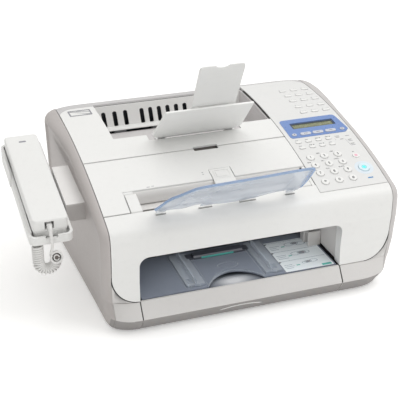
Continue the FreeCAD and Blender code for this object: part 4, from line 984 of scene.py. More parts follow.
# dark strip in the paper exit slot: painted shade
o = prism(rrect(WELL_X0 + 3.0, 143.6, WELL_X1 - 3.0, 151.6, 0.8), "XZ", 139.2, 141.0, DARKER,
          "exit_slot_dark")
mount(soften(o, 0.2), "black_plastic")
line = spline([(136.6, 153.4), (134.0, 153.0), (131.6, 151.8), (130.8, 150.0)], 0.6)
o = prism(thicken(line, -1.4), "YZ", WELL_X0 + 2.6, WELL_X1 - 2.6, WHITE, "vent_lip")
mount(smooth(soften(o, 0.25), 40), "white_shell")
rollers = [rod([(1.5, -9), (4.6, -8.6), (5.0, -7.6)], 0, (x, 134.0, 146.4), ROLLER)
           for x in (-96.0, -40.0, 0.0, 48.0)]
mount(join("exit_roller_tops", rollers), "rubber")

# ================================================================ flap and extension
# Both are drawn upright about their hinge, then leaned back.
FLAP_Y, FLAP_Z = 17.4, top_z(17.4) - 2.4    # flap hinge
FLAP_LEAN, EXT_LEAN = radians(46.0), radians(28.5)
FLAP_HALF, FLAP_LEN = 60.0, 85.0
EXT_X, EXT_HALF, EXT_LEN = 5.3, 29.2, 72.5    # offset from the flap's middle, size
EXT_HINGE = FLAP_LEN - 4.0    # height of the extension's hinge on the flap
EXT_OUT = 3.4                 # and its distance behind the flap's middle plane


def knuckle(half, length, at, x, z0, z1, y0, y1):
    """Hinge barrel with the block that carries it."""
    return [rod(half, length, at, WHITE),
            soften(prism(rect(x, z0, x + length, z1), "XZ", y0, y1, WHITE), 0.2)]


def rib(x, half, z0, z1, y0, y1):
    outline = round_poly(rect(x - half, z0, x + half, z1), 0.5, 3)
    return soften(prism(outline, "XZ", y0, y1, WHITE), 0.2)


outline = round_poly([(-FLAP_HALF + 9.0, 3.4), (FLAP_HALF - 9.0, 3.4), (FLAP_HALF + 1.6, 14.0),
                      (FLAP_HALF - 1.4, FLAP_LEN), (-FLAP_HALF + 1.4, FLAP_LEN),
                      (-FLAP_HALF - 1.6, 14.0)], [2, 2, 6, 2.2, 2.2, 6], 6)
# flap plate in the lighter white: painted light
parts = [soften(prism(outline, "XZ", -1.2, 1.2, FLAP_WHITE_LIT), 0.55, 3, 30)]
for x in (-FLAP_HALF + 9.0, FLAP_HALF - 19.0):
    parts += knuckle([(1.5, 0.0), (2.1, 0.05), (2.3, 0.25)], 10.0, (x, 0, 0), x, 0.4, 5.0,
                     -1.1, 1.1)
for x in (EXT_X - EXT_HALF + 4.0, EXT_X + EXT_HALF - 9.6):
    parts += knuckle([(1.0, 0.0), (1.8, 0.05), (2.0, 0.25)], 5.6, (x, EXT_OUT, EXT_HINGE), x,
                     EXT_HINGE - 1.8, EXT_HINGE + 1.8, 0.6, 3.0)
parts += [rib(x, 0.7, 12.0, FLAP_LEN - 12.0, 1.0, 1.9) for x in (-44.0, -22.0, 22.0, 44.0)]
o = place(join("output_flap_shell", parts), (PAGE_X, FLAP_Y, FLAP_Z), rx=FLAP_LEAN)
mount(smooth(o, 35), "white_shell", "output_flap", body="output_flap")

W, E = EXT_HALF, EXT_LEN
finger_dip = spline([(9.0, E - 0.2), (6.0, E - 2.6), (0.0, E - 3.8), (-6.0, E - 2.6),
                     (-9.0, E - 0.2)], 1.0)
outline = ([(-W, 0.0), (W, 0.0), (W, E - 5.0), (W - 1.2, E - 1.2), (W - 4.5, E), (11.0, E)]
           + finger_dip
           + [(-11.0, E), (-W + 4.5, E), (-W + 1.2, E - 1.2), (-W, E - 5.0)])
parts = [soften(prism(outline, "XZ", -0.9, 0.9, WHITE), 0.45, 3, 30),
         rod([(1.0, 0.0), (1.4, 0.1), (1.5, 0.3)], 2 * W, (-W, 0, 0), WHITE, 24),
         rod([(0.8, 0.0), (1.0, 0.2)], 2 * W + 1.2, (-W - 0.6, 0, 0), WHITE, 20)]
parts += [rib(x, 0.6, 8.0, E - 14.0, 0.7, 1.4) for x in (-18.0, 18.0)]
lean_cos, lean_sin = cos(FLAP_LEAN), sin(FLAP_LEAN)
o = place(join("output_extension_shell", parts),
          (PAGE_X + EXT_X, FLAP_Y - EXT_HINGE * lean_sin + EXT_OUT * lean_cos,
           FLAP_Z + EXT_HINGE * lean_cos + EXT_OUT * lean_sin), rx=EXT_LEAN)
mount(smooth(o, 35), "white_shell", "output_extension", body="output_extension")

# ================================================================ document feeder
FEED_Y, FEED_Z = -48.0, 156.0    # feed roller axis

cover = prism(roof_outline(-118.75, -22.2), "YZ", -SKIN_X, SPLIT_X, WHITE, "adf_cover_shell")
carve(cover,
      prism(rect(-151.0, -84.3, 100.0, -140.0), "XY", 120.0, 200.0),              # mouth
      prism(rrect(-39.0, -26.0, -6.0, -10.0, 1.2), "XY", 120.0, 200.0),           # rear notch
      prism(rrect(-35.3, -96.0, -5.7, -66.1, 1.0), "XY", 120.0, 200.0))           # latch
parts = [soften(cover, 0.8, 3, 30)]
outline = round_poly([(-31.0, top_z(-31.0, 1.4)), (-31.5, 162.4), (-28.0, 161.9),
                      (-22.8, 162.2), (-22.8, top_z(-22.8, 1.4))], 1.2, 4)
parts += [soften(prism(outline, "YZ", x, x + 4.0, WHITE), 0.3) for x in (-146.6, 57.2)]
mount(smooth(join("adf_cover_shell", parts), 34), "white_shell", "adf_cover", body="adf_cover")
# finger recess floor behind the cover's rear edge: Y, depth below the roof
DISH = [(-26.6, 9.4), (-25.0, 10.2), (-21.0, 10.8), (-17.8, 9.6), (-16.4, 7.0), (-16.2, 2.4)]
line = spline([(y, top_z(y, d)) for y, d in DISH], 1.0)
# dark floor: painted shade in the finger recess
o = prism(thicken(line, -1.2), "YZ", -38.6, -6.4, FINGER_RECESS_SHADE, "finger_dish")
mount(smooth(soften(o, 0.25), 45), "grey_shell")

# upper guide with its left lip, roller ears and ribs
line = spline([(-84.5, top_z(-84.5, 2.2)), (-85.6, 155.0), (-86.6, 151.0), (-86.9, 146.5),
               (-86.8, 142.0), (-84.6, 139.6), (-80.0, 140.0), (-70.0, 143.0),
               (-60.0, 146.2)], 1.2)
parts = [soften(prism(thicken(line, 2.0), "YZ", -138.3, 82.0, INNER_LIGHT), 0.3)]
outline = round_poly([(-84.35, top_z(-84.35, 0.35)), (-87.1, top_z(-87.1, 1.6)),
                      (-87.25, 150.0), (-86.6, 141.2), (-84.35, 141.2)],
                     [0.6, 2.2, 3, 0.5, 0.5], 5)
parts.append(soften(prism(outline, "YZ", -150.5, -138.45, WHITE), 0.3))
outline = round_poly([(-66.0, 147.0), (-36.0, 149.0), (-36.0, top_z(-36.0, 3.0)),
                      (-66.0, top_z(-66.0, 3.0))], 1.5, 4)
for x in (-104.0, 51.0):
    ear = prism(outline, "YZ", x, x + 3.0, INNER_LIGHT)
    carve(ear, rod([(3.3, -4)], 4, (x, FEED_Y, FEED_Z)))
    parts.append(soften(ear, 0.25))
outline = [(-82.0, 147.6), (-66.0, 147.2), (-58.0, 150.0), (-60.0, 158.0), (-78.0, 155.0)]
parts += [soften(prism(outline, "YZ", x - 0.7, x + 0.7, INNER_LIGHT), 0.2)
          for x in (-120, -90, -70, 20, 40, 66)]
mount(smooth(join("adf_guide_shell", parts), 38), "grey_shell", "adf_upper_guide",
      body="adf_cover")

SHAFT_END = [(2.4, 0), (3.0, 0.5)]
parts = [rod(SHAFT_END, 162, (-106.0, FEED_Y, FEED_Z), STEEL)]
for x in (-58.0, -16.0):
    at = (x, FEED_Y, FEED_Z)
    parts.append(rod([(3.0, 0.0), (8.5, 0.0), (9.0, 0.6)], 26.0, at, ROLLER, 44))
    parts.append(rod([(3.0, -3.0), (5.4, -3.0), (5.6, -2.6)], 26.0, at, GEAR, 30))
mount(smooth(join("feed_roller_set", parts), 35), "rubber", "adf_feed_roller",
      body="adf_feed_roller")

# latch: top plate with an embossed square, rounded front lip and hinge pin
line = arc_line(-66.5, -88.0, 0.1, 2.5)
line += spline([(-88.0, top_z(-88.0, 0.1)), (-90.6, top_z(-90.6, 0.6)),
                (-92.4, top_z(-92.4, 2.6)), (-93.2, 152.5), (-93.9, 148.6),
                (-94.6, 146.4)], 0.9)[1:]
plate = soften(prism(thicken(line, 2.2), "YZ", -34.35, -6.65, WHITE), 0.35, 2, 35)
ring = carve(prism(rrect(-10.2, -7.6, 10.2, 7.6, 1.5, 5), "XY", -0.5, 0.28, WHITE),
             prism(rrect(-9.3, -6.7, 9.3, 6.7, 1.0, 5), "XY", -2.0, 2.0))
boss = soften(prism(rrect(-7.6, -5.2, 7.6, 5.2, 1.2, 5), "XY", -0.5, 0.42, WHITE), 0.2)
for piece in (ring, boss):
    on_top(piece, -20.5, -76.8)
pin = rod([(0.6, 0), (0.9, 0.3)], 32.8, (-36.9, -68.2, top_z(-68.2, 1.3)), WHITE, 18)
mount(smooth(join("latch_shell", [plate, ring, boss, pin]), 36), "white_shell", "adf_latch",
      body="adf_latch")

# document bed: a wide roller slot and two slots for the guides, ribs, and a dark front skin that
# is painted shade
line = spline([(-119.9, 142.6), (-118.0, 143.0), (-115.0, 141.0), (-110.0, 139.2),
               (-100.0, 138.5), (-88.0, 138.5), (-60.0, 140.8), (-30.0, 143.5)], 2.0)
bed = prism(thicken(line, -2.1), "YZ", -150.6, 88.2, INNER_LIGHT)
carve(bed, *[prism(rrect(*slot), "XY", 120, 160) for slot in
             ((-142.0, -78.0, 78.0, -66.0, 1.0), (-146.0, -101.6, -84.0, -98.4, 1.5),
              (17.0, -101.6, 79.0, -98.4, 1.5))])
parts = [soften(bed, 0.3)]
outline = [(-112.0, 139.0), (-104.0, 138.2), (-88.0, 138.2), (-82.0, 138.6), (-84.0, 139.7),
           (-100.0, 139.3)]
parts += [soften(prism(outline, "YZ", x - 0.7, x + 0.7, INNER_LIGHT), 0.2)
          for x in (-75, -58, -42, -25, -8, 8)]
# dark front skin on the bed: painted shade in the mouth
line = [(y, z + 0.18) for y, z in line if y < -98.6]
parts.append(prism(thicken(line, -0.5), "YZ", -150.5, 88.1, BED_FRONT_SHADE))
mount(smooth(join("document_bed_shell", parts), 36), "grey_shell", "document_bed")
# sliding guides, each with a stem through its slot and a foot under the bed
outline = round_poly([(-119.0, 144.2), (-108.0, 140.6), (-87.6, 140.2), (-87.6, 157.4),
                      (-97.0, 155.6), (-119.0, 148.8)], [1.2, 3, 1, 2.0, 6, 3.0], 6)
for side, x0, x1, stem in (("left", -149.8, -135.6, -144.5), ("right", 69.0, 83.2, 76.0)):
    node = "document_guide_" + side
    parts = [soften(prism(outline, "YZ", x0, x1, WHITE), 0.9, 3, 30),
             soften(prism(rrect(stem, -101.3, stem + 2.0, -98.7, 0.4), "XY", 134.0, 142.5,
                          WHITE), 0.2),
             soften(prism(rrect(stem - 3.0, -104.0, stem + 5.0, -96.0, 0.8), "XY", 133.0, 135.0,
                          WHITE), 0.3)]
    mount(smooth(join("document_guide_shell_" + side, parts), 35), "white_shell", node,
          body=node)
# fixed end blocks of the mouth
outline = round_poly([(-119.6, 143.0), (-112.0, 139.8), (-84.6, 139.8),
                      (-84.6, top_z(-84.6, 0.4)), (-90.0, top_z(-90.0, 0.4)),
                      (-119.6, top_z(-119.6, 0.4))], [1, 3, 1, 1, 2, 1.5], 5)
o = prism(outline, "YZ", 84.0, 88.2, WHITE, "mouth_end_r")
mount(smooth(soften(o, 0.5, 3, 30), 35), "white_shell")
outline = [(-119.6, 140.0), (-84.6, 139.0), (-84.6, top_z(-84.6, 2.8)),
           (-119.6, top_z(-119.6, 2.8))]
o = prism(outline, "YZ", -152.6, -150.8, WHITE, "mouth_end_l")
mount(smooth(soften(o, 0.4, 2, 30), 35), "white_shell")
# small printed marks on the cover: X, Y, width
COVER_MARKS = [(-118.0, -82.0, 4.0), (-112.0, -81.4, 3.0), (-44.0, -70.0, 2.2),
               (-44.2, -73.6, 2.0)]
for i, (x, y, width) in enumerate(COVER_MARKS):
    o = flat_piece(rrect(-width / 2, -0.45, width / 2, 0.45, 0.3, 3), x, y, -0.1, 0.07,
                   INK_LIGHT, "cover_mark_%d" % i)
    mount(o, "black_plastic", body="adf_cover")

# ================================================================ document tray
TRAY_RISE = radians(40.5)
TRAY_BASE = Vector((0.0, -128.0, top_z(-128.0) + 3.4))
TRAY_UP = Vector((0.0, -cos(TRAY_RISE), sin(TRAY_RISE)))     # along the rise
TRAY_OFF = Vector((0.0, sin(TRAY_RISE), cos(TRAY_RISE)))     # off its face
# Outlines: X, distance along the rise. The free edge runs left to right, the low edge back.
FREE_EDGE = spline([
    (-125.1, 10.3), (-122.9, 18.6), (-116.2, 48.5), (-107.3, 61.1), (-96.6, 76.2),
    (-89.3, 82.9), (-74.0, 86.3), (-43.9, 90.2), (-8.7, 93.0), (18.4, 94.2), (36.0, 93.2),
    (45.0, 91.4), (48.8, 87.5), (50.6, 80.0), (53.6, 62.0), (57.2, 38.0), (59.4, 14.0)], 3.0)
LOW_EDGE = spline([
    (58.0, 9.0), (48.0, 13.0), (34.0, 18.6), (18.0, 17.4), (6.2, 12.0), (-10.0, 6.4),
    (-23.7, 4.6), (-42.0, 7.0), (-54.0, 11.2), (-66.0, 17.0), (-76.0, 19.0), (-84.0, 13.0),
    (-92.0, 8.5), (-104.0, 9.6), (-118.0, 7.8)], 3.0)
LOW_EDGE = [(x, max(1.2, v - 3.6)) for x, v in LOW_EDGE]


def tray_pt(x, rise, off):
    """Point on the slightly dished tray."""
    bow = 2.2 * ((x + 33.3) / 93.0) ** 2 + 1.6 * (rise / 94.0) ** 2 - 1.4
    return tuple(Vector((x, 0, 0)) + TRAY_BASE + TRAY_UP * rise + TRAY_OFF * (off + bow))


def tray_sheet(outline, off0, off1, mat):
    """Dished sheet over the outline."""
    cuts = [(0, k * 10.0) for k in range(-12, 7)] + [(1, k * 10.0) for k in range(1, 10)]
    o = sheet(outline, cuts, lambda x, y, upper: tray_pt(x, y, off1 if upper else off0), mat,
              "part")
    return smooth(o, 35)


upper_edge = [p for p in FREE_EDGE if p[1] > 30.0]
band_inner = [(x * 0.962 - 1.3, v - 5.0) for x, v in upper_edge]
parts = [tray_sheet(FREE_EDGE + LOW_EDGE, -0.9, 0.9, TRAY_CLEAR),
         tube([tray_pt(x, v, 0.0) for x, v in FREE_EDGE], 1.5, TRAY_RIM, 12),
         tray_sheet(upper_edge + band_inner[::-1], 0.75, 1.3, TRAY_RIM),
         tube([tray_pt(x, v, 0.0) for x, v in LOW_EDGE], 1.15, TRAY_CLEAR, 10),
         tray_sheet(rrect(-34.0, 66.0, 0.0, 71.5, 2.6), 0.85, 1.25, SMOKE_LIGHT)]
# two feet, two tabs and two ribs that lean inward
parts += [tray_sheet(rrect(a, -2.0, b, 14.0, 2.0), -0.9, 0.9, TRAY_CLEAR)
          for a, b in ((-122.5, -110.7), (44.1, 55.9))]
parts += [tray_sheet(rect(a + 1.0, 1.6, b - 1.0, 10.0), -0.5, 0.5, TRAY_CLEAR)
          for a, b in ((-69.2, -52.2), (-16.6, 4.4))]
for x, lean in ((-100.0, 0.16), (38.0, -0.16)):
    pts = [tray_pt(x + (v - 16) * lean, v, 0.9) for v in steps(16.0, 74.0, 12)]
    parts.append(tube(pts, [0.3] + [0.9] * 11 + [0.3], TRAY_CLEAR, 8))
mount(join("document_tray_shell", parts), "blue_clear", "document_tray", body="document_tray")

# ================================================================ control panel
TOUCH_X = (139.6, 156.6, 173.6)
TOUCH_Y = (103.2, 84.8, 67.0, 47.7, 30.8)
TOUCH_KEYS = [(x, y) for x in TOUCH_X for y in TOUCH_Y]
FUNCTION_KEYS = [(100.9, -38.9), (115.2, -38.9), (129.7, -38.9), (144.2, -38.9),
                 (101.2, -51.3), (115.7, -51.3), (129.9, -51.3), (144.2, -51.3)]
# menu keys: X, Y, half length, half width
MENU_KEYS = [(102.2, -22.2, 3.2, 2.6), (118.7, -22.2, 7.8, 2.9), (136.6, -22.2, 7.8, 2.9),
             (155.1, -22.2, 7.8, 2.9), (172.4, -22.2, 3.2, 2.6)]
# dial keys on a grid of three columns, then the stop and start keys: name, X, Y, radius
DIAL_NAMES = ["1", "2", "3", "4", "5", "6", "7", "8", "9", "star", "0", "hash"]
DIAL_LETTERS = ["", "ABC", "DEF", "GHI", "JKL", "MNO", "PQRS", "TUV", "WXYZ", "", "", ""]
DIAL_KEYS = [("key_" + name, 103.0 + 19.3 * (i % 3), -72.4 - 15.2 * (i // 3), 5.1)
             for i, name in enumerate(DIAL_NAMES)]
STOP_X, STOP_Y = 164.0, -80.3
START_X, START_Y = 164.4, -103.4
ROUND_KEYS = DIAL_KEYS + [("key_stop", STOP_X, STOP_Y, 4.6), ("key_start", START_X, START_Y, 7.4)]
BEZEL_HOLE = [(95.4, 15.4), (95.4, -29.0), (181.2, -29.0), (181.2, 15.4)]


def long_holes(keys, half_x, half_y, r, n):
    return [panel_cut(rrect(x - half_x, y - half_y, x + half_x, y + half_y, r, n))
            for x, y in keys]


def round_holes(gap, seg):
    return [on_top(lathe([(r + gap, -9.0), (r + gap, 9.0)], None, seg), x, y)
            for _, x, y, r in ROUND_KEYS]


def menu_holes(gap):
    return [arc_plate(rrect(x - a - gap, y - b - gap, x + a + gap, y + b + gap, b, 8), -6.0, 6.0)
            for x, y, a, b in MENU_KEYS]


# dark strips in the seams round the control panel: painted shade
for name, y0, y1, x0, x1 in (("panel_liner_front", -134.7, -132.7, 88.0, 183.0),
                             ("panel_liner_side", -134.0, 128.0, 87.9, 89.7)):
    o = arc_strip(y0, y1, x0, x1, 1.1, 2.5, BLACK, name=name)
    mount(soften(o, 0.1), "black_plastic")
panel = prism(roof_outline(-133.15, 145.0), "YZ", 89.0, SKIN_X, PANEL_WHITE, "panel_shell")
corner = ([(200.0, 170.0), (200.0, 124.5)] + rear_corner(1, 183.5, 125.5, 20.0)
          + [(163.5, 170.0)])
carve(panel, panel_cut(BEZEL_HOLE), *long_holes(TOUCH_KEYS, 5.4, 2.6, 2.4, 6),
      *long_holes(FUNCTION_KEYS, 4.4, 2.4, 2.2, 6), *round_holes(0.42, 36), panel_cut(corner))
mount(bend_rear(panel, [1], 0.6), "white_shell", "control_panel")
band = prism(roof_outline(110.0, 146.0, True), "YZ", 88.7, SKIN_X, RIM, "panel_rear_band")
carve(band, panel_cut([(80.0, 100.0), (80.0, 145.3), (163.4, 145.3)]
                      + rear_corner(1, 183.2, 125.5, 19.8)[::-1] + [(183.2, 100.0)]))
mount(bend_rear(band, [1], 0.5), "grey_shell")
# dark skin seen round the keys: painted shade in the gaps
o = arc_strip(-128.0, 106.0, 93.0, 182.0, 3.2, 4.0, DARKER, name="key_backing")
carve(o, panel_cut(BEZEL_HOLE), *round_holes(0.6, 24),
      *long_holes(TOUCH_KEYS, 5.6, 2.8, 2.4, 5), *long_holes(FUNCTION_KEYS, 4.7, 2.7, 2.2, 5))
mount(o, "black_plastic")

# blue window frame with a slanted right side
outline = round_poly([(95.0, -28.9), (174.6, -28.9), (181.1, -22.4), (176.6, 15.25),
                      (95.0, 15.25)], [5, 5, 3, 6, 6], 8)
bezel = arc_plate(outline, -0.6, 2.2, BLUE, "bezel")
carve(bezel, arc_plate(rrect(106.4, -8.8, 169.6, 5.6, 1.4, 6), -6.0, 6.0), *menu_holes(0.25))
mount(soften(bezel, 0.45, 3), "blue_panel", "panel_bezel")
# white skin that fills the rest of the frame's opening
o = arc_plate([(95.42, 15.38), (95.42, -28.98), (181.18, -28.98), (181.18, 15.38)], 0.05, 2.4,
              WHITE, "bezel_surround")
outline = round_poly([(94.85, -29.05), (174.7, -29.05), (181.25, -22.4), (176.75, 15.4),
                      (94.85, 15.4)], [5, 5, 3, 6, 6], 8)
carve(o, arc_plate(outline, -4.0, 6.0))
mount(smooth(o, 30), "white_shell")
o = arc_strip(-28.0, -16.0, 96.5, 178.5, 2.6, 3.1, DARKER, 3.0, "menu_shade")
carve(o, *menu_holes(0.1))
mount(o, "black_plastic")

# display: olive glass, dark inner frame, two rows of angular marks, and its board
glass = soften(arc_plate(rrect(106.7, -8.5, 169.3, 5.3, 1.0, 5), 1.0, 3.4, LCD), 0.15)
surround = arc_plate(rrect(106.6, -8.6, 169.4, 5.4, 1.2, 6), 0.25, 1.2, LCD_FRAME)
carve(surround, arc_plate(rrect(109.0, -6.9, 167.0, 2.9, 0.8, 5), -3.0, 6.0))
marks = []
rnd = random.Random(7)
for row in range(2):
    for i in range(18):
        if (i + row * 5) % 7 == 3:
            continue
        k = rnd.choice((0.8, 1.0, 1.3))
        outline = [(-k, -1.2), (k, -1.2), (k, 1.2), (k - 0.5, 1.2), (k - 0.5, -0.7), (-k, -0.7)]
        marks.append(flat_piece(outline, 112.0 + i * 3.05, 0.9 - row * 4.4, -0.97, -0.9,
                                LCD_INK))
marks = join("part", marks)
board = soften(arc_plate(rect(103.0, -12.0, 173.0, 10.0), 3.4, 5.4, BOARD), 0.3)
mount(smooth(join("lcd_module_set", [glass, surround, marks, board]), 30), "lcd", "lcd_module")

# ---- round keys
CAP_TOP = 1.5
KEY_SLOTS = {"key_start": "key_cyan", "key_stop": "key_pink"}
GLYPHS = {"key_star": "*", "key_hash": "#"}


def cap(r, mat, dish, seg):
    """Round key top with a soft edge and a shallow dish."""
    h = CAP_TOP
    return lathe([(r * 0.6, -3.5), (r - 0.05, -3.4), (r, -3.0), (r, h - 0.55),
                  (r - 0.12, h - 0.22), (r - 0.42, h), (r * 0.72, h - dish * 0.25),
                  (r * 0.42, h - dish * 0.8), (0.4, h - dish)], mat, seg)


def ink_text(text, size, thick, loc):
    o = place(lettering(text, size, thick), loc)
    o.data.materials.append(INK)
    return o


for name, x, y, r in ROUND_KEYS:
    if name == "key_start":
        diamond = [(-0.4, -2.6), (2.2, 0.0), (-0.4, 2.6), (-2.6, 0.0)]
        parts = [cap(r, HALO_KEY, 0.5, 56),
                 lathe([(r - 2.4, 1.0), (r - 2.2, 1.28), (r - 1.4, 1.42), (r - 1.0, 1.35),
                        (r - 0.9, 1.0)], KEY_WHITE, 56),
                 lathe([(0.3, 0.9), (0.3, 1.12), (3.2, 1.16), (4.2, 1.14), (4.3, 0.9)],
                       CYAN_MID),
                 soften(prism(diamond, "XY", 0.9, 1.22, CYAN), 0.1)]
    elif name == "key_stop":
        parts = [cap(r, KEY_WHITE, 0.4, 48),
                 soften(prism(circle(2.9, 28), "XY", 0.9, 1.24, PINK), 0.08)]
    else:
        size, lower = (8.4, -1.1) if name == "key_star" else (5.8, -0.1)
        parts = [cap(r, KEY_WHITE, 0.22, 40),
                 ink_text(GLYPHS.get(name, name[4:]), size, 0.16, (0, lower, 1.37))]
    o = on_top(join("cap_" + name, parts), x, y)
    mount(smooth(o, 40), KEY_SLOTS.get(name, "key_white"), name, body=name)

# ---- printed marks
marks = []
for (_, x, y, _), letters in zip(DIAL_KEYS, DIAL_LETTERS):
    if letters:
        marks.append(on_top(ink_text(letters, 2.8, 0.09, (0, 0, 0.03)), x - 5.8, y + 6.9))
for i, (x, y) in enumerate(FUNCTION_KEYS):
    marks.append(flat_piece(rrect(-2.2, -0.5, 2.2, 0.5, 0.3, 3), x - 1.0, y + 4.6, -0.2, 0.06,
                            INK if i in (5, 2, 3) else INK_LIGHT))
    if i in (2, 3, 5, 6):
        marks.append(flat_piece(rrect(-0.9, -0.7, 0.9, 0.7, 0.3, 3), x + 3.4, y + 4.6, -0.2,
                                0.06, INK))
for column, x in enumerate(TOUCH_X):
    for row, y in enumerate(TOUCH_Y):
        number = lettering("%02d" % (column + 3 * row + 1), 2.5, 0.05)
        number.data.materials.append(INK_LIGHT)
        place(number, (0, 0, 0.03))
        marks.append(on_top(number, x - 3.0, y + 4.6))
        marks.append(flat_piece(rrect(-3.4, -0.12, 3.4, 0.12, 0.1, 2), x + 3.2, y + 4.6, -0.2,
                                0.05, INK_LIGHT))
# short bars at the right: X, Y, half length
BARS = [(157.7, -36.0, 3.4), (157.7, -38.6, 2.6), (172.0, -38.0, 3.0), (161.5, -43.6, 2.4),
        (171.8, -46.5, 2.6), (171.8, -49.5, 3.2), (171.8, -55.4, 2.6), (171.8, -58.4, 3.2),
        (164.0, -71.8, 1.2)]
for x, y, half in BARS:
    marks.append(flat_piece(rrect(-half, -0.45, half, 0.45, 0.3, 3), x, y, -0.2, 0.06,
                            INK if half < 3 else INK_LIGHT))
# thin lines: start X, Y, end X, Y
for xa, ya, xb, yb in ((166.0, -43.0, 168.2, -59.6), (152.6, -40.6, 152.6, -44.2)):
    marks.append(flat_piece(stroke(0, 0, xb - xa, yb - ya, 0.12), xa, ya, -0.1, 0.06,
                            INK_LIGHT))
mount(join("panel_printing", marks), "black_plastic")

# rings round the start and stop keys, and the light bar
o = lathe([(7.75, -0.6), (7.8, 0.05), (8.2, 0.16), (11.2, 0.12), (12.4, 0.02), (12.4, -0.6)],
          HALO_RING, 56, "start_halo")
mount(smooth(on_top(o, START_X, START_Y), 35), "key_cyan")
o = prism(rrect(-3.6, -0.9, 3.6, 0.9, 0.7, 5), "XY", -0.4, 0.35, LED_BLUE, "light_bar")
mount(smooth(on_top(soften(o, 0.15), 164.7, -121.8), 30), "blue_panel")
o = flat_piece(circle(6.0, 40), STOP_X, STOP_Y, -0.5, 0.08, WHITE, "stop_ring")
carve(o, on_top(lathe([(4.86, -4), (4.86, 4)]), STOP_X, STOP_Y))
mount(smooth(o, 30), "white_shell")


# ---- long keys
def pill(x, y, half_x, half_y, top, mat):
    """Elongated key top standing through the skin."""
    outline = rrect(-half_x, -half_y, half_x, half_y, half_y - 0.1, 9)
    return on_top(soften(prism(outline, "XY", -5.5, top, mat), 0.35, 3, 40), x, y)


def carrier(y0, y1, x0, x1, mat):
    """Plate under the panel that joins a set of keys."""
    return soften(arc_strip(y0, y1, x0, x1, 4.6, 6.2, mat), 0.3)


parts = [pill(x, y, 4.95, 2.15, 1.1, KEY_WHITE) for x, y in TOUCH_KEYS]
parts.append(carrier(26.0, 108.0, 132.0, 180.5, KEY_WHITE))
mount(smooth(join("one_touch_key_set", parts), 38), "key_white", "one_touch_keys",
      body="one_touch_keys")
parts = [pill(x, y, 3.95, 1.95, 1.0, KEY_WHITE) for x, y in FUNCTION_KEYS]
parts.append(carrier(-56.0, -34.0, 95.0, 150.0, KEY_WHITE))
mount(smooth(join("function_key_set", parts), 38), "key_white", "function_keys",
      body="function_keys")
parts = [pill(x, y, a, b, 1.5, KEY_SILVER) for x, y, a, b in MENU_KEYS]
MENU_X, MENU_Y = [key[0] for key in MENU_KEYS], MENU_KEYS[0][1]
for x, s in ((MENU_X[0], 1), (MENU_X[-1], -1)):    # arrows that point outward
    arrow = [(-1.2 * s, 0.0), (0.9 * s, 1.2 * s), (0.9 * s, -1.2 * s)]
    parts.append(flat_piece(arrow, x, MENU_Y, 1.3, 1.58, INK))
parts += [flat_piece(rrect(-2.6, -0.4, 2.6, 0.4, 0.3, 3), x, MENU_Y, 1.3, 1.56, INK)
          for x in MENU_X[1:-1]]
parts.append(carrier(-26.5, -17.5, 97.5, 177.5, KEY_SILVER))
mount(smooth(join("menu_key_set", parts), 38), "blue_panel", "menu_keys", body="menu_keys")

# ================================================================ paper tray
TRAY_X0, TRAY_X1 = -149.0, 115.2
outline = round_poly([(-146.0, 2.3), (-158.8, 22.1), (-146.3, 40.9), (-143.6, 40.9),
                      (-137.2, 34.0), (-137.2, 7.0), (-142.0, 5.4), (-142.0, 2.3)],
                     [4.0, 4.5, 0.7, 0.8, 2.0, 1.0, 1.0, 0.8], 8)
nose = along_x(outline, steps(TRAY_X0, TRAY_X1, 8), TRAY_GREY)
# grip hollow under the nose, with an arched roof
grip = prism(round_poly([(-48.0, -160.0), (4.0, -160.0), (1.0, -152.2), (-45.0, -152.2)],
                        [0, 0, 3, 3], 6), "XY", 6.0, 13.6)
for v in grip.data.vertices:
    if v.co.z / MM > 10:
        v.co.z = (13.8 - 3.6 * ((v.co.x / MM + 22.0) / 26.0) ** 2) * MM
carve(nose, grip)
parts = [soften(nose, 0.5, 3),
         soften(prism(rect(TRAY_X0, -143.0, TRAY_X1, 140.0), "XY", 7.0, 9.0, DARK), 0.4)]
# side walls with a raised tab: Y, Z
outline = round_poly([(-138.0, 8.0), (139.8, 8.0), (139.8, 36.0), (-44.0, 36.0),
                      (-46.0, 42.0), (-48.0, 43.8), (-56.0, 43.8), (-58.0, 42.0),
                      (-60.0, 36.0), (-138.0, 36.0)], [1, 1, 2, 2, 1, 1.5, 1.5, 1, 2, 1], 4)
parts += [soften(prism(outline, "YZ", x, x + 2.4, DARK), 0.35)
          for x in (TRAY_X0, TRAY_X1 - 2.4)]
parts.append(soften(prism(rect(TRAY_X0, 8.0, TRAY_X1, 36.0), "XZ", 137.6, 140.0, DARK), 0.3))
# floor ribs and lift plate
outline = [(-130.0, 8.6), (130.0, 8.6), (129.0, 11.0), (-129.0, 11.0)]
parts += [soften(prism(outline, "YZ", x - 0.8, x + 0.8, DARK), 0.2) for x in (-120, -95, 70, 92)]
parts.append(soften(prism(rrect(-84.0, -20.0, 38.0, 126.0, 5.0), "XY", 9.0, 10.4, STEEL), 0.4))
o = join("paper_tray_shell", parts)
# painted shade on the faces under the front ridge
paint_shade_under(o)
# pale bead arched over the grip, lying on the nose's sloping face
bead = []
for i in range(17):
    x = -50.0 + 3.5 * i
    z = 12.2 + 4.2 * (1.0 - ((x + 22.0) / 28.0) ** 2)
    bead.append((x, -146.1 - 12.8 * (z - 2.0) / 20.1, z))
o = join("paper_tray_shell", [o, tube(bead, [0.25] + [0.75] * 15 + [0.25], KEY_WHITE, 8)])
mount(smooth(o, 36), "grey_shell", "paper_tray", body="paper_tray")

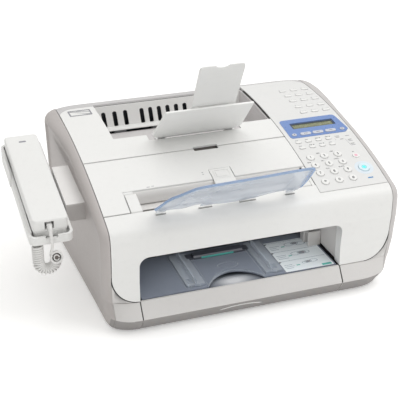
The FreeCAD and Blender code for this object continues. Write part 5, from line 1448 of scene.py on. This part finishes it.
# polished scoop under the finger opening, its pale middle a painted highlight: a shallow bowl on
# a grid of X by Y
SCOOP_XS, SCOOP_YS = steps(-63.0, 16.0, 24), steps(-142.5, -108.0, 14)
verts = [(x, y, 39.2 - 3.0 * ((y + 142.5) / 34.5) * ((y + 142.5) / 34.5)
          - 1.6 * cos((x + 23.5) / 40.0 * HALF_PI)) for y in SCOOP_YS for x in SCOOP_XS]
n = len(SCOOP_XS)
faces = [(i * n + j, i * n + j + 1, (i + 1) * n + j + 1, (i + 1) * n + j)
         for i in range(len(SCOOP_YS) - 1) for j in range(n - 1)]
o = make(verts, faces, SCOOP_PAINTED_HIGHLIGHT, "tray_scoop")
thickness = o.modifiers.new("thick", "SOLIDIFY")
thickness.thickness = 0.0016
thickness.offset = -1.0
bake(o)
mount(smooth(o, 50), "black_plastic", body="paper_tray")

# ================================================================ dust cover
# Dark clear sheet with raised rails, a scooped finger opening and a lip.
# Rim of the finger opening: X, Y, Z
RIM_PTS = [(-60.4, -141.0, 42.3), (-56.0, -134.6, 42.5), (-48.0, -126.0, 42.6),
           (-36.0, -118.6, 42.7), (-23.0, -115.4, 42.7), (-10.0, -118.6, 42.7),
           (2.0, -126.0, 42.6), (10.0, -134.6, 42.5), (13.6, -141.0, 42.3)]
outline = ([(-146.4, -142.5), (-61.0, -142.5)] + spline([p[:2] for p in RIM_PTS], 2.0)
           + [(14.0, -142.5), (112.7, -142.5), (112.7, -50.0), (-146.4, -50.0)])
parts = [soften(prism(outline, "XY", 40.0, 42.3, SMOKE), 0.4, 2, 35)]
rail = round_poly([(-138.6, 41.8), (-57.0, 41.8), (-57.0, 44.4), (-136.6, 44.6)],
                  [0.5, 0.5, 1, 1.2], 4)
for x0, x1 in ((-86.0, -77.0), (-71.5, -63.0), (18.0, 26.5), (32.0, 41.0)):
    parts.append(soften(along_x(rail, [x0, x1], SMOKE_LIGHT), 0.7, 3, 30))
rim = spline(RIM_PTS, 3.0)
parts += [tube(rim, 1.0, SMOKE_LIGHT, 10),
          tube([(p[0] * 0.86 - 3.3, p[1] + 6.0, 42.4) for p in rim], 0.55, SMOKE_LIGHT, 8),
          tube([(x, y, 42.3) for x, y in ellipse(-20.0, -100.0, 14.0, 7.0, 40)], 0.6,
               SMOKE_LIGHT, 8, closed=True)]
for x in (-88.5, -60.0, 15.5, 43.5):
    parts.append(tube([(x, -139.0, 42.2), (x, -100.0, 42.3), (x, -58.0, 42.3)], 0.5,
                      SMOKE_LIGHT, 8))
for x in (-73.0, 29.5):
    pad = lathe([(2.0, 0.0), (5.0, 0.1), (5.6, 0.7), (5.6, 1.6), (5.0, 2.2), (0.5, 2.3)],
                SMOKE_LIGHT, 30)
    parts.append(place(pad, (x, -133.0, 42.3)))
# hinge barrels and pin
for x in (-146.4, 104.7):
    parts.append(rod([(1.0, 0), (2.2, 0.1), (2.4, 0.4)], 8.0, (x, -52.0, 40.4), SMOKE, 24))
parts.append(rod([(0.7, 0), (1.0, 0.3)], 263.5, (-148.6, -52.0, 40.4), SMOKE, 18))
# dark ledge with a block at each end and a teal strip along its front
outline = round_poly([(-73.6, 42.2), (-73.6, 45.0), (-71.6, 47.0), (-62.0, 47.0),
                      (-60.5, 42.2)], [0.3, 0.8, 0.8, 0.8, 0.3], 4)
parts.append(soften(prism(outline, "YZ", -57.0, 11.0, LEDGE), 0.35))
for x0, x1 in ((-66.0, -57.5), (11.5, 20.0)):
    parts.append(soften(prism(rrect(x0, -73.0, x1, -61.0, 0.8), "XY", 42.2, 44.6, LEDGE), 0.3))
parts.append(soften(prism(rrect(-46.5, 43.0, -2.0, 45.3, 0.9), "XZ", -74.5, -73.0, TEAL), 0.35))
mount(smooth(join("dust_cover_shell", parts), 38), "smoke_clear", "dust_cover",
      body="dust_cover")

# label sheet with three rows of plain drawings
LABEL_TOP = 42.5


def printed(outline, mat, h=0.06):
    return prism(outline, "XY", 42.45, LABEL_TOP + h, mat)


parts = [soften(prism(rrect(43.5, -142.4, 110.5, -64.0, 1.5, 5), "XY", 42.32, LABEL_TOP, LABEL),
                0.06)]
rnd = random.Random(3)
for k in range(3):
    y0 = -139.0 + k * 25.0
    parts.append(printed(rrect(45.0, y0 + 22.4, 109.0, y0 + 22.9, 0.2, 4), LABEL_PRINT))
    for j in range(3):
        end = 47.0 + rnd.uniform(9, 16)
        parts.append(printed(rrect(47.0, y0 + 4.0 + 4.0 * j, end, y0 + 4.7 + 4.0 * j, 0.3, 4),
                             LABEL_PRINT))
    for j in range(3):
        cx = 76.0 + j * 7.0 + rnd.uniform(-2, 2)
        cy = y0 + 12.0 + rnd.uniform(-2.0, 2.0)
        r = rnd.uniform(4.0, 7.5)
        hole = ellipse(cx, cy, r - 0.8, (r - 0.8) * 0.62, 26)
        parts.append(carve(prism(ellipse(cx, cy, r, r * 0.62, 26), "XY", 42.45, 42.56,
                                 LABEL_PRINT), prism(hole, "XY", 42.0, 43.0)))
        if j == 1:
            parts.append(prism(ellipse(cx, cy, r - 1.6, (r - 1.6) * 0.62, 22), "XY", 42.45,
                               42.55, INK_LIGHT))
    parts.append(printed(rrect(63.0, y0 + 8.0, 68.0, y0 + 10.0, 0.6, 4), TEAL))
parts.append(printed(rrect(95.0, -141.0, 108.0, -136.5, 0.6, 4), TEAL, 0.08))
for k in range(3):
    arrow = [(43.9, -120.0 + 25 * k), (47.4, -117.8 + 25 * k), (43.9, -115.6 + 25 * k)]
    parts.append(printed(arrow, INK, 0.08))
mount(join("guide_label", parts), "white_shell", body="dust_cover")

# paper guides: foot plate, upright fence on its inner edge, grip ridges
fence = round_poly([(-135.0, 43.6), (-62.0, 43.6), (-62.0, 50.7), (-128.0, 50.7),
                    (-135.0, 47.5)], [0.3, 0.3, 1, 3, 2], 5)
for side, s in (("left", -1.0), ("right", 1.0)):
    inner = PAGE_X + 50.0 * s
    outer = inner + 13.0 * s
    x0, x1 = sorted((inner, outer))
    f0, f1 = sorted((inner, inner + 2.4 * s))
    mid = 0.5 * (inner + outer)
    parts = [soften(prism(rrect(x0, -137.0, x1, -62.0, 2.5), "XY", 42.75, 44.4, SMOKE_LIGHT)),
             soften(prism(fence, "YZ", f0, f1, SMOKE_LIGHT))]
    parts += [soften(prism(rrect(mid - 3.6, -131.0 + 3.0 * k, mid + 3.6, -129.4 + 3.0 * k, 0.6),
                           "XY", 44.2, 45.4, SMOKE_LIGHT), 0.3) for k in range(4)]
    node = "paper_guide_" + side
    mount(smooth(join("paper_guide_shell_" + side, parts), 36), "smoke_clear", node, body=node)

# ================================================================ paper space
# dark block with four teeth, over the ledge
outline = round_poly([(-65.6, 54.5), (-60.0, 53.4), (-57.2, 56.0), (-57.2, 66.0),
                      (-65.6, 66.0)], [1, 2, 1, 1, 1], 4)
parts = [soften(prism(outline, "YZ", -57.0, 11.0, DARK), 0.4)]
parts += [soften(prism(rrect(x - 2.0, 66.0, x + 2.0, 72.0, 0.6), "XZ", -65.2, -60.0, DARK), 0.3)
          for x in (-52.0, -30.0, -16.0, 6.0)]
mount(join("pickup_front_block", parts), "black_plastic")
walls = [soften(prism(rrect(-131.0, 44.6, -58.6, 100.0, 1.0), "YZ", 115.9, 118.0, INNER_WALL),
                0.4)]
# low fence moulded on the dust cover round the label's rear corner
parts = [soften(prism(rrect(97.0, 42.6, 115.2, 63.0, 1.0), "XZ", -90.0, -87.6, INNER_WALL), 0.4),
         soften(prism(round_poly(rect(96.6, -78.0, 104.0, -70.0), 1.5, 4), "XY", 42.6, 59.0,
                      INNER_WALL)),
         soften(prism(rrect(97.0, 42.6, 115.2, 54.0, 1.0), "XZ", -68.0, -66.0, INNER_WALL), 0.4)]
mount(join("dust_cover_fence", parts), "grey_shell", body="dust_cover")
walls.append(soften(prism(rrect(-131.0, 44.6, -60.0, 100.0, 1.0), "YZ", -151.6, -149.8, DARK),
                    0.4))
mount(join("paper_space_walls", walls), "grey_shell")
# dark roof and back of the paper space: painted shade of the deep inside
o = prism(rrect(-148.0, -131.0, 116.0, -60.0, 2.0), "XY", 102.5, 104.0, DARKER,
          "paper_space_roof")
mount(soften(o, 0.4), "black_plastic")
o = soften(prism(rrect(-147.5, 54.8, 115.0, 102.0, 2.0), "XZ", -58.4, -56.8, DARKER,
                 "paper_space_back"), 0.4)
carve(o, prism(rrect(-50.0, 40.0, 4.0, 66.0, 2.0), "XZ", -80.0, -40.0))
mount(o, "black_plastic")


# ================================================================ internals
def paint(node, mat):
    """Finish for a CAD piece that keeps its own mesh."""
    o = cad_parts[node]
    o.data.materials.clear()
    o.data.materials.append(mat)
    if not any(m.type == "BEVEL" for m in o.modifiers):
        w = o.modifiers.new("weld", "WELD")
        w.merge_threshold = 0.000005
        add_bevel(o, 0.0003, 2, 35)
    for p in o.data.polygons:
        p.use_smooth = False


for node, mat in (("scan_unit", BLACK), ("engine_frame", STEEL), ("main_motor", STEEL),
                  ("laser_unit", BLACK), ("toner_cartridge", BLACK), ("main_board", BOARD),
                  ("power_supply", BOARD), ("rear_sockets", BLACK), ("motor_pinion", GEAR),
                  ("hinge_pins", STEEL), ("hook_switch", WHITE)):
    paint(node, mat)


def toothed_wheel(root, tip, teeth, width, x, half_root, half_tip):
    """Gear about X with a ring groove in its right face; half widths are of one tooth."""
    pts = []
    for i in range(teeth):
        a = 2 * pi * i / teeth
        for r, turn in ((root, -pi / teeth), (root + 0.1, -half_root / root),
                        (tip, -half_tip / tip), (tip, half_tip / tip),
                        (root + 0.1, half_root / root)):
            pts.append((r * cos(a + turn), r * sin(a + turn)))
    o = prism(pts, "YZ", x, x + width, GEAR)
    groove = lathe([(root * 0.45, 6.0), (root * 0.82, 6.0), (root * 0.84, 12.0),
                    (root * 0.43, 12.0)])
    carve(o, place(groove, (x, 0, 0), ry=HALF_PI))
    return soften(o, 0.12, 1, 25)


# paper pick-up roller: shaft, two rubber sleeves on hubs, drive gear
parts = [rod(SHAFT_END, 266.0, (-162.0, 0, 0), STEEL)]
for x in (-47.0, -21.0):
    parts.append(rod([(7.0, 0.4), (13.4, 0.0), (14.0, 0.6)], 20.0, (x, 0, 0), ROLLER, 48))
    parts.append(rod([(3.0, -2.0), (7.2, -2.0), (7.4, -1.6)], 20.0, (x, 0, 0), GEAR, 32))
parts.append(toothed_wheel(root=14.6, tip=16.9, teeth=32, width=8.0, x=-160.0, half_root=0.95,
                           half_tip=0.35))
o = place(join("pickup_roller_set", parts), (0.0, -38.0, 68.0))
mount(smooth(o, 35), "rubber", "pickup_roller", body="pickup_roller")
parts = [rod(SHAFT_END, 256.0, (-150.0, 104.0, 112.0), STEEL),
         rod([(3.0, 0.4), (9.4, 0.0), (10.0, 0.8)], 216.0, (-132.0, 104.0, 112.0), HEAT_SLEEVE,
             48)]
mount(smooth(join("fuser_roller_set", parts), 35), "steel", "fuser_roller",
      body="fuser_roller")

# ================================================================ handset bracket
BRACKET_YZ = [(-63.4, 119.2), (-63.4, 142.5), (21.0, 158.2), (21.0, 138.2), (0.0, 130.2)]
o = prism(round_poly(BRACKET_YZ, [1.5, 2.5, 2.5, 2.0, 6.0], 6), "YZ", -216.0, -192.6, BRACKET)
carve(o, prism(inset_poly(BRACKET_YZ, 3.0), "YZ", -213.2, -180.0))
soften(o, 0.7, 3, 30)
# the front end is painted darker: painted shade standing in for its shadow
o.data.materials.append(BRACKET_FRONT_SHADE)
for f in o.data.polygons:
    if f.normal.y < -0.6:
        f.material_index = len(o.data.materials) - 1
lip = prism(round_poly([(-45.0, 127.0), (10.0, 137.0), (10.0, 141.0), (-45.0, 131.0)], 1.5, 4),
            "YZ", -216.4, -215.0, BRACKET)
o = join("handset_bracket_shell", [o, soften(lip, 0.3)])
mount(smooth(o, 35), "grey_shell", "handset_bracket")

# ================================================================ handset and cradle
# Both are drawn flat about this point and tilted with the roof side of the machine.
PHONE = (-243.0, -5.0, 145.6)
PHONE_TILT = radians(9.8)
HOOK_Y = 20.0       # hook switch along the handset


def at_phone(o):
    return place(o, PHONE, rx=PHONE_TILT)


cradle = prism(rrect(-26.2, -102.6, 26.2, 101.0, 8.0, 10), "XY", -12.6, 0.0, WHITE)
# the rim stands higher behind Y -60 than in front of it
for v in cradle.data.vertices:
    if v.co.z > -0.001:
        v.co.z = (3.6 if v.co.y / MM > -60 else -1.6) * MM
carve(cradle, prism(rrect(-23.1, -99.6, 23.1, 98.2, 6.0, 10), "XY", -10.4, 20.0))
carve(cradle, soften(prism(rect(-7.5, -110.0, 7.5, -95.0), "XY", -4.6, 10.0), 1.0),
      prism(circle(2.65, 30, HOOK_Y), "XY", -20.0, 20.0))
soften(cradle, 0.7, 3, 30)
middle = soften(prism(rrect(-23.4, -52.0, 23.4, 52.0, 3.0), "XY", -11.5, -1.7, WHITE), 0.8, 3)
liner = soften(prism(rect(-23.4, -92.0, -21.9, 92.0), "XY", -11.5, 1.4, WHITE), 0.3)
carve(middle, prism(circle(2.65, 30, HOOK_Y), "XY", -20.0, 20.0))
ear = prism(round_poly([(14.0, -8.0), (78.0, -8.0), (74.0, 4.0), (62.0, 6.4), (30.0, 6.4),
                        (20.0, 3.0)], [3, 3, 4, 4, 6, 4], 6), "YZ", -28.2, -25.4, WHITE)
foot = soften(prism(rrect(-23.0, -99.0, 23.0, -88.0, 4.0), "XY", -14.0, -12.0, WHITE), 0.6, 3)
o = join("handset_cradle_shell", [cradle, middle, liner, soften(ear, 0.8, 3), foot])
mount(smooth(at_phone(o), 35), "white_shell", "handset_cradle")

PHONE_LEN, PHONE_HALF = 96.0, 21.5    # half length, half width
L, W = PHONE_LEN, PHONE_HALF
parts = [soften(prism(rrect(-W, -L, W, L, 5.0, 10), "XY", 2.0, 18.0, WHITE), 2.2, 5, 30),
         soften(prism(rrect(-W + 0.9, -L + 0.9, W - 0.9, L - 0.9, 4.4, 10), "XY", 0.0, 4.0,
                      WHITE), 0.6, 2, 30)]
# pierced cups under each end
for y0, y1 in ((-L + 1.6, -L + 40.0), (L - 41.0, L - 1.6)):
    cup = prism(rrect(-W + 1.6, y0, W - 1.6, y1, 5.5, 10), "XY", -8.4, 1.5, WHITE)
    soften(cup, 1.6, 4, 30)
    mid = 0.5 * (y0 + y1)
    carve(cup, *[prism(ellipse(i * 4.4, mid + j * 4.4, 0.9, 0.9, 10), "XY", -10.0, -6.5)
                 for i in range(-2, 3) for j in range(-2, 3) if i * i + j * j < 6])
    parts.append(smooth(cup, 34))
shell = join("part", parts)
carve(shell, prism(circle(3.4, 30, HOOK_Y), "XY", -1.0, 6.5),
      soften(prism(rrect(-7.0, -99.0, 4.0, -88.0, 0.5), "XY", 4.8, 15.2), 0.3))
smooth(shell, 34)
# lamp and its surround, then the cord socket, plug and boot
lamp = prism(rrect(-4.8, 77.0, 4.8, 80.6, 1.7, 8), "XY", 17.2, 18.25, INK_LIGHT)
parts = [shell, soften(lamp, 0.2),
         prism(rrect(-5.8, 76.2, 5.8, 81.4, 2.4, 8), "XY", 17.4, 18.12, KEY_WHITE),
         soften(prism(rrect(-6.6, -89.5, 3.6, -88.4, 0.3), "XY", 5.2, 14.8, BLACK), 0.15),
         soften(prism(rrect(-4.6, -98.2, 1.6, -88.6, 0.8), "XY", 6.8, 12.2, CORD), 0.6, 3)]
BOOT_END = (-1.55, -101.8, 4.6)
parts.append(tube([(-1.5, -96.4, 9.4), (-1.5, -98.6, 9.0), (-1.5, -100.6, 7.4), BOOT_END],
                  [2.8, 2.7, 2.5, 2.2], CORD, 18))
o = at_phone(join("handset_shell", parts))
mount(smooth(o, 36), "white_shell", "handset", body="handset")


# ================================================================ handset cord
def phone_pt(x, y, z):
    """Place in the machine of a point on the handset."""
    c, s = cos(PHONE_TILT), sin(PHONE_TILT)
    return (PHONE[0] + x, PHONE[1] + y * c - z * s, PHONE[2] + y * s + z * c)


# The coil hangs from the cradle, turns through a U about this point and ends toward the front.
U_X, U_Y, U_Z, U_R = -249.7, -98.0, 90.0, 10.3
COIL_PITCH, COIL_R, COIL_FLARE = 2.9, 5.9, 0.9
path = [(U_X - U_R, U_Y, 113.0 - i * 2.0) for i in range(12)]
path += [(U_X - U_R * cos(a), U_Y, U_Z - U_R * sin(a)) for a in steps(0.0, pi, 26)]
path += spline([(U_X + U_R, U_Y, U_Z), (U_X + 10.7, U_Y - 0.8, U_Z + 3.4),
                (U_X + 10.7, U_Y - 3.6, U_Z + 6.4), (U_X + 10.2, U_Y - 8.0, U_Z + 8.4),
                (U_X + 9.8, U_Y - 11.0, U_Z + 9.0)], 1.0)[1:]
axis = [Vector(p) for p in path]
last = len(axis) - 1
run = [0.0]                       # distance along the axis
for i in range(last):
    run.append(run[-1] + (axis[i + 1] - axis[i]).length)
across = []                       # a steady sideways direction at each point
side_dir = Vector((0.0, 1.0, 0.0))
for i in range(last + 1):
    t = (axis[min(i + 1, last)] - axis[max(0, i - 1)]).normalized()
    side_dir = (side_dir - t * side_dir.dot(t)).normalized()
    across.append(side_dir.copy())
turns = run[-1] / COIL_PITCH
count = int(turns * 18)
helix = []
for k in range(count + 1):
    at = run[-1] * k / count
    i = min(max(j for j in range(len(run)) if run[j] <= at + 1e-9), last - 1)
    f = (at - run[i]) / max(1e-6, run[i + 1] - run[i])
    centre = axis[i].lerp(axis[i + 1], f)
    t0 = (axis[i + 1] - axis[i]).normalized()
    t1 = (axis[min(i + 2, last)] - axis[min(i + 1, last - 1)]).normalized()
    t = t0.lerp(t1, f).normalized()
    u = (across[i] - t * across[i].dot(t)).normalized()
    v = t.cross(u).normalized()
    a = 2 * pi * turns * k / count
    r = COIL_R + COIL_FLARE * max(0.0, (k / count - 0.86) / 0.14)
    helix.append(tuple(centre + (u * cos(a) + v * sin(a)) * r))
tail = spline([(U_X - U_R, U_Y + 4.0, 112.0), (U_X - 9.6, U_Y + 5.0, 117.0),
               (U_X - 7.0, U_Y + 9.0, 122.5)], 1.5)
# the grey core and the dark hollow tube stand in for shade inside the coil: painted shade
parts = [tube(helix, 1.35, CORD, 10), tube(tail, 1.9, CORD, 12),
         tube(path[:-9], 5.0, CORD_CORE_SHADE, 24), tube(path[-10:-1], 4.2, CORD_HOLLOW_SHADE, 24)]
# two open rings inside the coil's front end
end = Vector(path[-2])
end_dir = (end - Vector(path[-4])).normalized()
for k in range(2):
    ring = [tuple(end + end_dir * (0.4 + 0.5 * k)
                  + Vector((cos(a), 0.35 * sin(a), sin(a))) * (3.4 - 0.6 * k))
            for a in steps(0.0, 2 * pi * 0.93, 30)]
    parts.append(tube(ring, 0.45, CORD, 8))
# straight lead from the plug boot down to the coil
boot = phone_pt(*BOOT_END)
lead_pts = spline([boot, (-244.4, -109.4, 124.0), (-244.0, -109.0, 114.0),
                   (-245.6, -105.2, 104.0), (-244.6, -99.6, 97.0), helix[-6]], 1.5)
lead = tube(lead_pts, [2.15] * 4 + [1.9] * (len(lead_pts) - 4), CORD, 16, name="lead")
mount(join("cord_coil", parts), "white_shell", "handset_cord")
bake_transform(lead)

# ================================================================ setting (metres)
CAM_TURN, CAM_DROP = radians(-19.2565), radians(26.1879)    # heading and downward tilt
cam = bpy.data.cameras.new("camera")
cam.lens = 87.6
cam.sensor_width = 36.0
camera = link("camera", cam)
view = Vector((-sin(CAM_TURN) * cos(CAM_DROP), cos(CAM_TURN) * cos(CAM_DROP), -sin(CAM_DROP)))
camera.location = (-0.4105, -1.1104, 0.6674)
camera.rotation_euler = view.to_track_quat("-Z", "Y").to_euler()
cam.clip_start = 0.05
bpy.context.scene.camera = camera


def floor_paper():
    """Pale matt paper that glows a little, more so to the camera."""
    m, nt, b = new_material("floor_paper")
    v = coords(nt)
    tone = ramp(nt, noise(nt, v, scale=3.0),
                [(0.3, (0.90, 0.90, 0.895)), (0.7, (0.93, 0.93, 0.925))])
    nt.links.new(tone, b.inputs["Base Color"])
    b.inputs["Roughness"].default_value = 0.8
    b.inputs["Specular IOR Level"].default_value = 0.15
    b.inputs["Emission Color"].default_value = (1.0, 1.0, 1.0, 1.0)
    path_info = put(nt, "ShaderNodeLightPath")
    link_range(nt, path_info.outputs["Is Camera Ray"], b.inputs["Emission Strength"],
               low=0.13, high=0.30)
    link_bump(nt, b, noise(nt, v, scale=400.0, detail=2.0), strength=0.05, distance=0.0001)
    return m


# floor that turns up far behind: Y, Z
sweep = [(-4.0, 0.0), (2.4, 0.0)]
sweep += [(2.4 + 0.8 * sin(a), 0.8 - 0.8 * cos(a)) for a in steps(0.05, HALF_PI, 14)]
sweep.append((3.2, 4.0))
studio_floor = make([(x, y, z) for y, z in sweep for x in (-6.0, 6.0)],
                    [(2 * i, 2 * i + 1, 2 * i + 3, 2 * i + 2) for i in range(len(sweep) - 1)],
                    floor_paper(), "studio_floor", 1.0)
studio_floor.rotation_euler = (0, 0, CAM_TURN)
for p in studio_floor.data.polygons:
    p.use_smooth = True


def area(name, loc, target, size, watts):
    """White rectangular light at loc, aimed at target."""
    light = bpy.data.lights.new(name, "AREA")
    light.shape = "RECTANGLE"
    light.size, light.size_y = size
    light.energy = watts
    light.color = (1, 1, 1)
    o = link(name, light)
    o.location = loc
    o.rotation_euler = (Vector(target) - Vector(loc)).to_track_quat("-Z", "Y").to_euler()
    return o


key = area("key_light", loc=(0.85, -0.72, 1.65), target=(0.0, -0.02, 0.08), size=(1.2, 1.2),
           watts=12.0)
overhead = area("top_light", loc=(-0.1, 0.35, 1.7), target=(0.0, 0.0, 0.1), size=(1.6, 1.6),
                watts=7.0)
fill = area("fill_light", loc=(0.1, -1.7, 0.35), target=(0.0, 0.0, 0.06), size=(1.2, 0.5),
            watts=0.7)
# small light under the roof of the paper space
inside = area("opening_light", loc=(-0.018, -0.112, 0.099), target=(-0.018, -0.098, 0.0),
              size=(0.24, 0.02), watts=0.038)
inside.visible_camera = False
world = bpy.data.worlds.new("studio")
world.use_nodes = True
background = world.node_tree.nodes["Background"]
background.inputs["Color"].default_value = (0.975, 0.968, 0.945, 1.0)
background.inputs["Strength"].default_value = 0.66
scene = bpy.context.scene
scene.world = world
scene.view_settings.view_transform = "Standard"
scene.view_settings.look = "None"
scene.view_settings.exposure = 0.0
